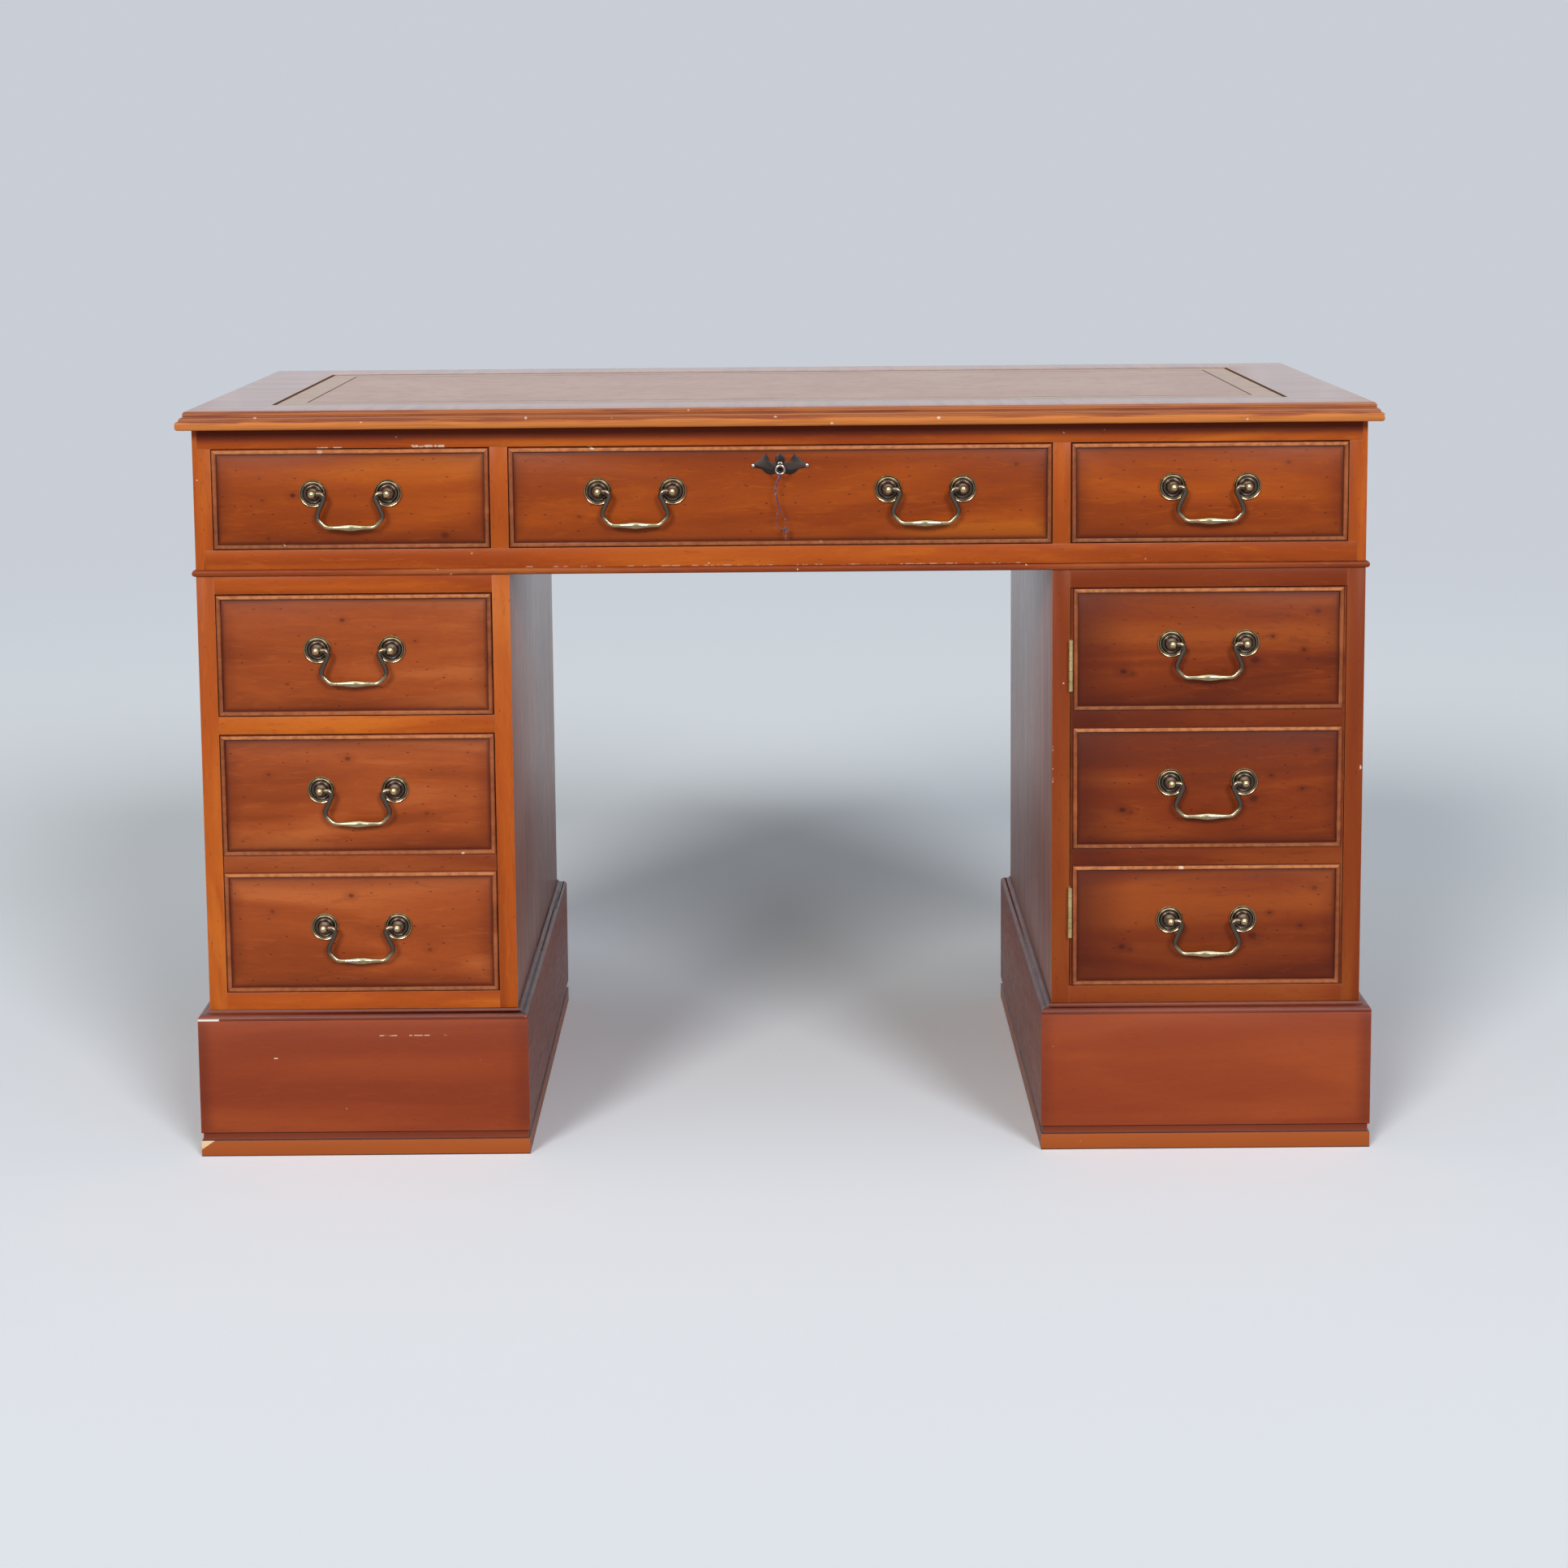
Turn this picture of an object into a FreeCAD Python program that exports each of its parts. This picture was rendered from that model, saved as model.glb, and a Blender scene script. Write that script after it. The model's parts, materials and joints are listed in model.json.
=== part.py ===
"""Twin-pedestal writing desk, veneered, with a leather-lined top.

The desk stands in three parts, as it is carried: a top section with three drawers in a row,
a left pedestal with one drawer above a deep file drawer, and a right pedestal with a cupboard
whose door is faced like three drawers. Every front has a cock bead round it and swan-neck bail
handles. The origin is at the middle of the footprint on the floor, the front faces -Y.
"""
import FreeCAD, Part
import Sketcher
import math
import os
from types import SimpleNamespace

SIZES = {
    # Plan of the carcass
    "kneehole_width": 554, "pedestal_opening": 283, "panel_thick": 18.5, "case_depth": 568,
    "back_thick": 12, "rail_depth": 45, "lipping": 5, "rail_housing": 9,
    # Heights, from the floor up
    "plinth_height": 144.5, "plinth_mould_height": 9.5, "bottom_rail_height": 18, "file_opening": 272,
    "mid_rail_height": 18.5, "upper_opening": 127, "pedestal_rail_height": 18.5, "waist_height": 7,
    "lower_rail_height": 20, "case_opening": 103.5, "upper_rail_height": 20.5, "top_thick": 19,
    # Writing top and its moulded edge, from the underside up
    "side_overhang": 13, "front_overhang": 21, "nose_underside": 3, "nose_rise": 3, "nose_flat": 2.6,
    "nose_crown": 3.4, "nose_top_back": 2, "first_step": 1.4, "first_ovolo_rise": 4, "first_ovolo_run": 2.4,
    "second_step": 1.2, "second_riser": 2, "second_ovolo_run": 2.5,
    # Leather and the line tooled in it
    "leather_margin": 75, "leather_thick": 1.2, "leather_sink": 0.3, "leather_gap": 0.3,
    "tooled_margin": 32, "tooled_width": 1.6, "tooled_depth": 0.3,
    # Waist bead, plinth and plinth moulding
    "waist_proud": 3.5, "plinth_proud": 11, "plinth_board": 18, "base_strip": 17, "plinth_groove": 8,
    "plinth_groove_depth": 2, "mould_lip": 1.6, "mould_ovolo": 4.5, "mould_shelf": 1.2, "mould_land": 1.6,
    # Fronts and their cock beads
    "front_thick": 18, "drawer_gap": 0.8, "bead_width": 5, "bead_seat": 3, "bead_proud": 2.5,
    "false_rail": 18, "door_bead_inset": 2.3,
    # Drawer boxes, runners and stops
    "box_gap": 1, "box_side": 10, "box_back": 10, "box_rear_gap": 48, "box_bottom": 5, "bottom_rise": 9,
    "bottom_groove": 4, "run_gap": 0.3, "case_box_height": 80, "upper_box_height": 100, "file_box_drop": 36.7,
    "runner_width": 18, "runner_height": 16, "stop_width": 40, "stop_thick": 12, "stop_height": 6, "stop_gap": 0.3,
    # Cupboard shelf and catch
    "shelf_rise": 205, "shelf_thick": 16, "shelf_setback": 70, "shelf_gap": 0.5, "batten_height": 20,
    "batten_width": 15, "catch_width": 44, "catch_height": 13, "catch_depth": 16, "catch_inset": 30,
    "catch_plate": 2, "catch_plate_proud": 1.5, "catch_gap": 0.3,
    # Butt hinges of the door
    "hinge_length": 53, "hinge_upper_drop": 54, "hinge_lower_rise": 52, "leaf_thick": 1.4, "leaf_width": 20,
    "leaf_gap": 0.3, "knuckle_radius": 2.5, "knuckle_stand": 0.6, "knuckle_gap": 0.3, "knuckle_clear": 0.3,
    "pin_radius": 1.2, "pin_clear": 0.15,
    # Bail handles: posts
    "post_spacing": 76, "post_rise": 6, "case_handle_spread": 147.5, "rose_radius": 14, "rose_edge": 2.6,
    "rose_crest": 13.4, "rose_valley": 11.8, "rose_valley_depth": 1.5, "boss_radius": 5.8,
    "boss_shoulder": 5.4, "boss_height": 6.8, "neck_radius": 3, "neck_height": 8.4, "ball_low": 10.8,
    "ball_radius": 4.1, "ball_high": 13.8, "ball_tip_radius": 1.6, "ball_tip": 16.4,
    # Bail handles: bails
    "pivot_proud": 10, "journal_radius": 1.55, "journal_clear": 0.25, "journal_depth": 2.4, "journal_shoulder": 4.7,
    "bail_radius": 2.1, "elbow_in": 14.4, "elbow_bend": 2.6, "neck_out": 3.4, "neck_drop": 24, "neck_bend": 8,
    "grip_in": 13.5, "grip_drop": 34.4, "grip_bend": 9, "grip_half": 18, "grip_radius": 4.1, "taper_run": 0.4,
    # Lock, key and escutcheon
    "key_drop": 20, "plate_thick": 1.2, "plate_tip": 26.6, "plate_tip_radius": 1.9, "plate_tip_drop": 0.8,
    "plate_ear": 14.2, "plate_ear_rise": 11.4, "plate_notch_out": 10.8, "plate_notch_in": 4.7,
    "plate_notch_floor": 1.6, "plate_peak": 12.4, "plate_peak_foot": 7.6, "plate_wing_in": 18.6,
    "plate_wing_drop": 4.4, "plate_lobe": 9.8, "plate_lobe_drop": 10.4, "plate_waist_drop": 8.8,
    "nail_radius": 2.4, "nail_out": 0.8,
    "nail_shoulder": 1, "nail_shoulder_radius": 2.1, "nail_crown": 1.9, "nail_crown_radius": 1.1,
    "nail_shank": 0.8, "nail_length": 8, "keyhole_radius": 2.4, "keyhole_width": 2.6, "keyhole_drop": 7,
    "case_lock_width": 50, "case_lock_height": 38, "case_lock_depth": 11.5, "lock_wall": 1.5,
    "lock_cavity": 7, "lock_slot_depth": 4.4, "bolt_width": 13.6, "bolt_thick": 3.6, "bolt_clear": 0.25,
    "bolt_rise": 7.3, "bolt_sink": 0.3, "bolt_travel": 7, "mortise_clear": 0.6, "shank_radius": 2,
    "bit_radius": 6, "bit_thick": 1.8, "bit_length": 3, "bit_clear": 0.6, "collar_radius": 3.1,
    "collar_thick": 1.5, "collar_gap": 0.3, "bow_proud": 12.5, "bow_thick": 2, "bow_outer": 5.5, "bow_inner": 3.3,
    # String on the key
    "string_radius": 0.5, "knot_radius": 2, "knot_end_radius": 1.1, "knot_belly": 0.8, "knot_height": 3.6,
    "tail_radius": 0.8, "tail_neck": 0.5, "tail_length": 9.5,
    # How far a cutting shape runs past what it cuts
    "overrun": 5,
}

# Shares and counts that give a form without being lengths
nose_round_share = 0.48
nose_flat_share = 0.3
quarter_turn_bulge = math.tan(math.radians(90) / 4)
round_tip_bulge = 0.9
wing_bulge = 0.1
lobe_bulge = 0.2
rose_sides = 11
stem_sides = 8
nail_sides = 8
knuckle_sides = 8
shank_sides = 8
keyhole_sides = 12
bow_sides = 18
wire_sides = 6
drill_sides = 6
string_sides = 4
knuckle_count = 5
round_run_share = 0.45
elbow_steps, neck_steps, grip_steps = 2, 2, 1
grip_swell_share = 0.65

# Route of the string, mm: out of the knot, up its left strand, through the bow and down again
STRING_ROUTE = [
    (3.4, -296.6, 652.4), (-1.6, -296.8, 654.0), (-3.9, -297.2, 660.0), (-3.7, -297.6, 668.0),
    (-1.9, -298.0, 675.5), (-3.6, -298.2, 684.0), (-5.9, -298.4, 692.5), (-5.0, -298.5, 700.5),
    (-1.7, -298.5, 706.6), (-0.9, -298.4, 712.2), (0.2, -294.6, 712.4), (0.7, -294.4, 706.2),
    (-3.2, -294.8, 699.5), (-4.4, -295.2, 691.0), (-2.8, -295.4, 682.5), (-0.4, -295.6, 674.5),
    (3.0, -295.9, 667.5), (5.9, -296.2, 660.5), (6.6, -296.4, 653.8),
]


class Size:
    """A length together with its spreadsheet formula, so sums of sizes stay live in the document."""

    def __init__(self, value, formula):
        self.value = float(value)
        self.formula = formula

    def joined(self, other, sign, value, swap=False):
        """Returns the size that joins this one and another by an arithmetic sign."""
        mine, theirs = self.formula, formula_of(other)
        if swap:
            mine, theirs = theirs, mine
        return Size(value, "(" + mine + " " + sign + " " + theirs + ")")

    def __add__(self, other):
        return self.joined(other, "+", self.value + float(other))

    def __radd__(self, other):
        return self.joined(other, "+", float(other) + self.value, swap=True)

    def __sub__(self, other):
        return self.joined(other, "-", self.value - float(other))

    def __rsub__(self, other):
        return self.joined(other, "-", float(other) - self.value, swap=True)

    def __mul__(self, other):
        return self.joined(other, "*", self.value * float(other))

    def __rmul__(self, other):
        return self.joined(other, "*", float(other) * self.value, swap=True)

    def __truediv__(self, other):
        return self.joined(other, "/", self.value / float(other))

    def __neg__(self):
        return Size(-self.value, "(0 - " + self.formula + ")")

    def __float__(self):
        return self.value


def formula_of(item):
    """The text that stands for a size or a plain number in a formula."""
    return item.formula if isinstance(item, Size) else repr(float(item))


doc = FreeCAD.newDocument("PedestalDesk")
sheet = doc.addObject("Spreadsheet::Sheet", "Sizes")
for row, (alias, value) in enumerate(SIZES.items(), 1):
    sheet.set("A" + str(row), alias)
    sheet.set("B" + str(row), str(value))
    sheet.setAlias("B" + str(row), alias)
doc.recompute()
s = SimpleNamespace(**{alias: Size(value, "Sizes." + alias) for alias, value in SIZES.items()})
nodes = {}

# Places that follow from the sizes
knee = s.kneehole_width / 2
opening_out = knee + s.panel_thick + s.pedestal_opening
half_case = opening_out + s.panel_thick
opening_in = knee + s.panel_thick
opening_mid = opening_in + s.pedestal_opening / 2
front = -(s.case_depth / 2)
rear = s.case_depth / 2
inner_rear = rear - s.back_thick
rail_back = front + s.rail_depth
front_back = front + s.front_thick
z_mould = s.plinth_height + s.plinth_mould_height
z_floor = z_mould + s.bottom_rail_height
z_file = z_floor + s.file_opening
z_upper_low = z_file + s.mid_rail_height
z_upper_high = z_upper_low + s.upper_opening
z_pedestal = z_upper_high + s.pedestal_rail_height
z_case = z_pedestal + s.waist_height
z_sill = z_case + s.lower_rail_height
z_lintel = z_sill + s.case_opening
z_under_top = z_lintel + s.upper_rail_height
z_top = z_under_top + s.top_thick
top_length = (half_case + s.side_overhang) * 2
top_depth = s.case_depth + s.front_overhang * 2
edge_run = (s.nose_top_back + s.first_step + s.first_ovolo_run + s.second_step + s.second_ovolo_run)
key_z = z_lintel - s.key_drop

X_AXIS = FreeCAD.Vector(1, 0, 0)
Y_AXIS = FreeCAD.Vector(0, 1, 0)
Z_AXIS = FreeCAD.Vector(0, 0, 1)
STANDING = FreeCAD.Rotation(X_AXIS, 90)
FLAT = FreeCAD.Rotation()


def bind(item, name, size):
    """Ties a property to a size's formula; zero needs no formula."""
    if isinstance(size, Size):
        item.setExpression(name, size.formula)
    elif not name.startswith("Placement"):
        setattr(item, name, size)


def place(item, at, rotation=FLAT):
    """Turns an item and ties its place to three sizes."""
    item.Placement = FreeCAD.Placement(FreeCAD.Vector(), rotation)
    for axis, size in zip("xyz", at):
        bind(item, "Placement.Base." + axis, size)
    return item


def box(name, x, y, z, kind="Part::Box", body=None):
    """A board between pairs of limits along X, Y and Z; inside a body, a box feature."""
    item = body.newObject(kind, name) if body else doc.addObject(kind, name)
    for side, (low, high) in zip(("Length", "Width", "Height"), (x, y, z)):
        bind(item, side, high - low)
    for axis, (low, _) in zip("xyz", (x, y, z)):
        bind(item, "Placement.Base." + axis, low)
    return item


def rod(name, radius, start, length, rotation=FLAT, sides=0):
    """A cylinder, or a prism of so many sides, from a start point along Z or the turned Z."""
    item = doc.addObject("Part::Prism" if sides else "Part::Cylinder", name)
    if sides:
        item.Polygon = sides
    bind(item, "Circumradius" if sides else "Radius", radius)
    bind(item, "Height", length)
    return place(item, start, rotation)


def group(name, items):
    """Several separate solids kept together."""
    item = doc.addObject("Part::Compound", name)
    item.Links = items
    return item


def cut(name, base, tool):
    """What is left of the base when the tool is taken away."""
    item = doc.addObject("Part::Cut", name)
    item.Base, item.Tool = base, tool
    return item


def fuse(name, items):
    """One solid made of several that touch, with their shared faces cleaned away."""
    item = doc.addObject("Part::MultiFuse", name)
    item.Shapes = items
    item.Refine = True
    return item


def copy_at(name, source, at, rotation=FLAT):
    """The same piece again, at another place."""
    return place(group(name, [source]), at, rotation)


def node(name, items):
    """Names a finished sub-part, which becomes one file."""
    item = items[0] if len(items) == 1 else group(name, items)
    item.Label = name
    nodes[name] = item
    return item


def both_sides(low, high):
    """The pair of limits between low and high right of the middle, and its mirror image."""
    return [(-high, -low), (low, high)]


def origin_plane(body, role):
    """A body's own origin plane."""
    return [item for item in body.Origin.OriginFeatures if item.Role == role][0]


def arc_of(start, end, bulge):
    """The arc between two points whose bulge is the tangent of a quarter of its turn."""
    chord = end - start
    radius = chord.Length / 2 * (1 + bulge ** 2) / (2 * abs(bulge))
    left = FreeCAD.Vector(-chord.y, chord.x, 0).normalize()
    centre = (start + end) / 2 + left * (radius * (1 - bulge ** 2) / (1 + bulge ** 2) * math.copysign(1, bulge))
    first, last = (start, end) if bulge > 0 else (end, start)
    angles = [math.atan2((p - centre).y, (p - centre).x) for p in (first, last)]
    return Part.ArcOfCircle(Part.Circle(centre, Z_AXIS, radius), angles[0], angles[1])


def outline_sketch(body, name, role, outlines):
    """A sketch of closed outlines whose corners are tied to sizes.

    Each outline is a list of (x, y) or (x, y, bulge) corners; a bulge bends the side that
    starts at that corner, to the right of the way along it when positive.
    """
    sketch = body.newObject("Sketcher::SketchObject", name)
    sketch.AttachmentSupport = (origin_plane(body, role), [""])
    sketch.MapMode = "FlatFace"
    first = 0
    for outline in outlines:
        count = len(outline)
        for i, corner in enumerate(outline):
            ahead = outline[(i + 1) % count]
            a = FreeCAD.Vector(float(corner[0]), float(corner[1]), 0)
            b = FreeCAD.Vector(float(ahead[0]), float(ahead[1]), 0)
            side = arc_of(a, b, corner[2]) if len(corner) > 2 else Part.LineSegment(a, b)
            sketch.addGeometry(side, False)
        starts = [2 if len(corner) > 2 and corner[2] < 0 else 1 for corner in outline]
        for i, corner in enumerate(outline):
            here, ahead = first + i, first + (i + 1) % count
            end = 3 - starts[i]
            sketch.addConstraint(Sketcher.Constraint("Coincident", here, end, ahead, starts[(i + 1) % count]))
            for kind, size in zip(("DistanceX", "DistanceY"), corner):
                value = float(size)
                tie = sketch.addConstraint(Sketcher.Constraint(kind, -1, 1, here, starts[i], value))
                if isinstance(size, Size):
                    sketch.setExpression("Constraints[" + str(tie) + "]", size.formula)
            if len(corner) > 2:
                ahead_corner = outline[(i + 1) % count]
                run, rise = ahead_corner[0] - corner[0], ahead_corner[1] - corner[1]
                factor = (1 + corner[2] ** 2) / (4 * abs(corner[2]))
                formula = "hypot(" + formula_of(run) + "; " + formula_of(rise) + ") * " + repr(factor)
                radius = math.hypot(float(run), float(rise)) * factor
                tie = sketch.addConstraint(Sketcher.Constraint("Radius", here, radius))
                sketch.setExpression("Constraints[" + str(tie) + "]", formula)
        first += count
    return sketch


def pocket_through(body, name, role, outlines):
    """Cuts outlines right through a body, both ways from one of its origin planes."""
    pocket = body.newObject("PartDesign::Pocket", name)
    pocket.Profile = outline_sketch(body, name + "_sketch", role, outlines)
    pocket.Type = "ThroughAll"
    pocket.SideType = "Symmetric"
    return pocket


def mitred_strips(name, length, width, band, low, high, rotation, turn_axis, centre, nose=None, detail=None):
    """Four strips with mitred ends round a rectangle, as a list of bodies.

    Each strip is a wedge whose long side lies outwards. Nose shapes two of its long edges: "side"
    rounds the two on its outer side, and "face" bevels the two on its top face, so that the many
    cock beads have three flats. Detail is a function that adds more features to a strip's body.
    """
    strips = []
    for quarter in range(4):
        long_side, short_side = (length, width) if quarter % 2 == 0 else (width, length)
        body = doc.addObject("PartDesign::Body", name + "_" + str(quarter + 1))
        wedge = body.newObject("PartDesign::AdditiveWedge", name + "_wedge_" + str(quarter + 1))
        outer, inner = -(short_side / 2), -(short_side / 2) + band
        limits = {
            "Xmin": -(long_side / 2), "Xmax": long_side / 2,
            "X2min": -(long_side / 2) + band, "X2max": long_side / 2 - band,
            "Ymin": outer, "Ymax": inner, "Zmin": low, "Zmax": high, "Z2min": low, "Z2max": high,
        }
        for limit, size in limits.items():
            bind(wedge, limit, size)
        doc.recompute()
        if nose:
            kind, size_name, size = ("Fillet", "Radius", (high - low) * nose_round_share)
            if nose == "face":
                kind, size_name, size = ("Chamfer", "Size", band * nose_flat_share)
            shaped = body.newObject("PartDesign::" + kind, name + "_nose_" + str(quarter + 1))
            shaped.Base = (wedge, long_edges(wedge.Shape, nose, float(high), float(outer)))
            bind(shaped, size_name, size)
        if detail:
            detail(body, long_side, short_side)
        turn = FreeCAD.Rotation(turn_axis, 90 * quarter).multiply(rotation)
        strips.append(place(body, centre, turn))
    return strips


def long_edges(shape, nose, high, outer):
    """Names of the two long edges of a strip that take its rounded nose."""
    names = []
    for number, edge in enumerate(shape.Edges, 1):
        a, b = edge.Vertexes[0].Point, edge.Vertexes[-1].Point
        along = abs(a.y - b.y) < Part.Precision.approximation() and abs(a.z - b.z) < Part.Precision.approximation()
        level, wanted = (a.z, high) if nose == "face" else (a.y, outer)
        if along and abs(level - wanted) < Part.Precision.approximation():
            names.append("Edge" + str(number))
    return names


def edge_cutter(half, side):
    """The space outside the top's moulded edge, from the underside up; side is 1 or -1."""
    z_crown = z_under_top + s.nose_rise + s.nose_flat + s.nose_crown
    first_in = half - s.nose_top_back - s.first_step
    second_in = first_in - s.first_ovolo_run - s.second_step
    bend = quarter_turn_bulge * side
    corners = [
        (half + s.overrun, z_under_top - s.overrun),
        (half - s.nose_underside, z_under_top - s.overrun),
        (half - s.nose_underside, z_under_top, bend),
        (half, z_under_top + s.nose_rise),
        (half, z_under_top + s.nose_rise + s.nose_flat, bend),
        (half - s.nose_top_back, z_crown),
        (first_in, z_crown, bend),
        (first_in - s.first_ovolo_run, z_crown + s.first_ovolo_rise),
        (second_in, z_crown + s.first_ovolo_rise),
        (second_in, z_crown + s.first_ovolo_rise + s.second_riser, bend),
        (second_in - s.second_ovolo_run, z_top),
        (second_in - s.second_ovolo_run, z_top + s.overrun),
        (half + s.overrun, z_top + s.overrun),
    ]
    return [(corner[0] * side,) + corner[1:] for corner in corners]


def build_top():
    """The veneered top with its moulded edge, and the leather let into it."""
    half_x, half_y = top_length / 2, top_depth / 2
    top = doc.addObject("PartDesign::Body", "top_board")
    box("top_blank", (-half_x, half_x), (-half_y, half_y), (z_under_top, z_top), "PartDesign::AdditiveBox", top)
    margin = edge_run + s.leather_margin
    leather_x, leather_y = half_x - margin, half_y - margin
    recess = s.leather_thick + s.leather_sink
    box("leather_recess", (-leather_x - s.leather_gap, leather_x + s.leather_gap),
        (-leather_y - s.leather_gap, leather_y + s.leather_gap), (z_top - recess, z_top),
        "PartDesign::SubtractiveBox", top)
    pocket_through(top, "end_moulding", "XZ_Plane", [edge_cutter(half_x, side) for side in (1, -1)])
    pocket_through(top, "long_moulding", "YZ_Plane", [edge_cutter(half_y, side) for side in (1, -1)])
    node("writing_top", [top])

    low, high = z_top - recess, z_top - s.leather_sink
    sheet_of_leather = box("leather_sheet", (-leather_x, leather_x), (-leather_y, leather_y), (low, high))
    line_x, line_y = leather_x - s.tooled_margin, leather_y - s.tooled_margin
    line = cut("tooled_line",
               box("tooled_outer", (-line_x, line_x), (-line_y, line_y), (high - s.tooled_depth, high)),
               box("tooled_inner", (s.tooled_width - line_x, line_x - s.tooled_width),
                   (s.tooled_width - line_y, line_y - s.tooled_width), (high - s.tooled_depth, high)))
    node("leather_inset", [cut("leather_inset", sheet_of_leather, line)])


def build_top_case():
    """The frame that holds the three upper drawers: rails, sides, dividers, back, runners, waist bead."""
    slot_low = front_back - s.case_lock_depth + s.lock_wall
    slot = box("bolt_mortise",
               (-(s.bolt_width / 2) - s.mortise_clear, s.bolt_width / 2 + s.mortise_clear),
               (slot_low - s.mortise_clear, slot_low + s.lock_slot_depth + s.mortise_clear),
               (z_lintel, z_lintel + s.bolt_travel + s.mortise_clear * 2))
    upper = cut("upper_rail", box("upper_rail_blank", (s.lipping - half_case, half_case - s.lipping),
                                  (front, rail_back), (z_lintel, z_under_top)), slot)
    reach = opening_out + s.rail_housing
    lower = box("lower_rail", (-reach, reach), (front, rail_back), (z_case, z_sill))
    rails = node("top_case_rails", [upper, lower])
    sides = group("side_boards", [box("side_board", x, (front, rear), (z_case, z_under_top))
                                  for x in both_sides(opening_out, half_case)])
    node("top_case_sides", [cut("top_case_sides", sides, rails)])
    dividers = group("divider_boards", [box("divider_board", x, (front, inner_rear), (z_case, z_under_top))
                                        for x in both_sides(knee, opening_in)])
    node("top_case_dividers", [cut("top_case_dividers", dividers, rails)])
    node("top_case_back", [box("top_case_back", (-opening_out, opening_out), (inner_rear, rear),
                               (z_case, z_under_top))])
    node("waist_moulding", mitred_strips(
        "waist", (half_case + s.waist_proud) * 2, s.case_depth + s.waist_proud * 2,
        s.waist_proud + s.panel_thick, z_pedestal, z_case, FLAT, Z_AXIS, (0, 0, 0), nose="side"))


def ogee_of_plinth(body, long_side, short_side):
    """Cuts the ovolo and cove of the plinth moulding along a strip's outer side."""
    outer = -(short_side / 2)
    shelf_z = s.plinth_height + s.mould_lip + s.mould_ovolo
    shelf_in = outer + s.mould_ovolo + s.mould_shelf
    land = outer + s.plinth_proud - s.mould_land
    pocket_through(body, body.Name + "_ogee", "YZ_Plane", [[
        (outer - s.overrun, s.plinth_height + s.mould_lip),
        (outer, s.plinth_height + s.mould_lip, -quarter_turn_bulge),
        (outer + s.mould_ovolo, shelf_z),
        (shelf_in, shelf_z, quarter_turn_bulge),
        (land, z_mould),
        (land, z_mould + s.overrun),
        (outer - s.overrun, z_mould + s.overrun),
    ]])


def groove_of_plinth(body, long_side, short_side):
    """Cuts the groove above the base strip along a plinth board's outer side."""
    outer = -(short_side / 2)
    box(body.Name + "_groove", (-(long_side / 2), long_side / 2), (outer, outer + s.plinth_groove_depth),
        (s.base_strip, s.base_strip + s.plinth_groove), "PartDesign::SubtractiveBox", body)


def build_plinths():
    """The two plinths: mitred boards, and an ogee moulding on them round the pedestal's foot."""
    length = s.pedestal_opening + s.panel_thick * 2 + s.plinth_proud * 2
    width = s.case_depth + s.plinth_proud * 2
    boards = group("plinth_pattern", mitred_strips(
        "plinth_board", length, width, s.plinth_board, 0, s.plinth_height, FLAT, Z_AXIS, (0, 0, 0),
        detail=groove_of_plinth))
    mouldings = group("moulding_pattern", mitred_strips(
        "plinth_moulding", length, width, s.plinth_proud, s.plinth_height, z_mould, FLAT, Z_AXIS, (0, 0, 0),
        detail=ogee_of_plinth))
    middle = (knee + half_case) / 2
    node("plinths", [copy_at("plinth", boards, (x, 0, 0)) for x in (-middle, middle)])
    node("plinth_mouldings", [copy_at("moulding", mouldings, (x, 0, 0)) for x in (-middle, middle)])


def build_pedestals(frame_leaves):
    """Sides, backs, front rails and dust boards of both pedestals."""
    panels = [box("pedestal_panel", x, (front, rear), (s.plinth_height, z_pedestal))
              for pair in ((knee, opening_in), (opening_out, half_case)) for x in both_sides(*pair)]
    node("pedestal_sides", [cut("pedestal_sides", group("pedestal_panels", panels), frame_leaves)])
    node("pedestal_backs", [box("pedestal_back", x, (inner_rear, rear), (s.plinth_height, z_pedestal))
                            for x in both_sides(opening_in, opening_out)])
    left, right = both_sides(opening_in, opening_out)
    heights = [(left, (z_upper_high, z_pedestal)), (left, (z_file, z_upper_low)), (left, (s.plinth_height, z_floor)),
               (right, (z_upper_high, z_pedestal)), (right, (s.plinth_height, z_floor))]
    node("pedestal_rails", [box("pedestal_rail", x, (front, rail_back), z) for x, z in heights])
    levels = [(z_upper_high, z_pedestal), (z_mould, z_floor)]
    node("pedestal_boards", [box("dust_board", x, (rail_back, inner_rear), z)
                             for x in (left, right) for z in levels])


def build_runners():
    """Strips that carry the drawer sides, and the small stops behind the drawer fronts."""
    pairs = [(-opening_out, -opening_in, z_sill), (-knee, knee, z_sill), (opening_in, opening_out, z_sill),
             (-opening_out, -opening_in, z_upper_low)]
    pieces = []
    for low, high, level in pairs:
        for x in ((low, low + s.runner_width), (high - s.runner_width, high)):
            pieces.append(box("runner", x, (rail_back, inner_rear), (level - s.runner_height, level)))
    middles = [(-opening_mid, z_sill), (0, z_sill), (opening_mid, z_sill), (-opening_mid, z_upper_low),
               (-opening_mid, z_floor)]
    for middle, level in middles:
        pieces.append(box("stop", (middle - s.stop_width / 2, middle + s.stop_width / 2),
                          (front_back + s.stop_gap, front_back + s.stop_gap + s.stop_thick),
                          (level, level + s.stop_height)))
    node("drawer_runners", pieces)


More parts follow.
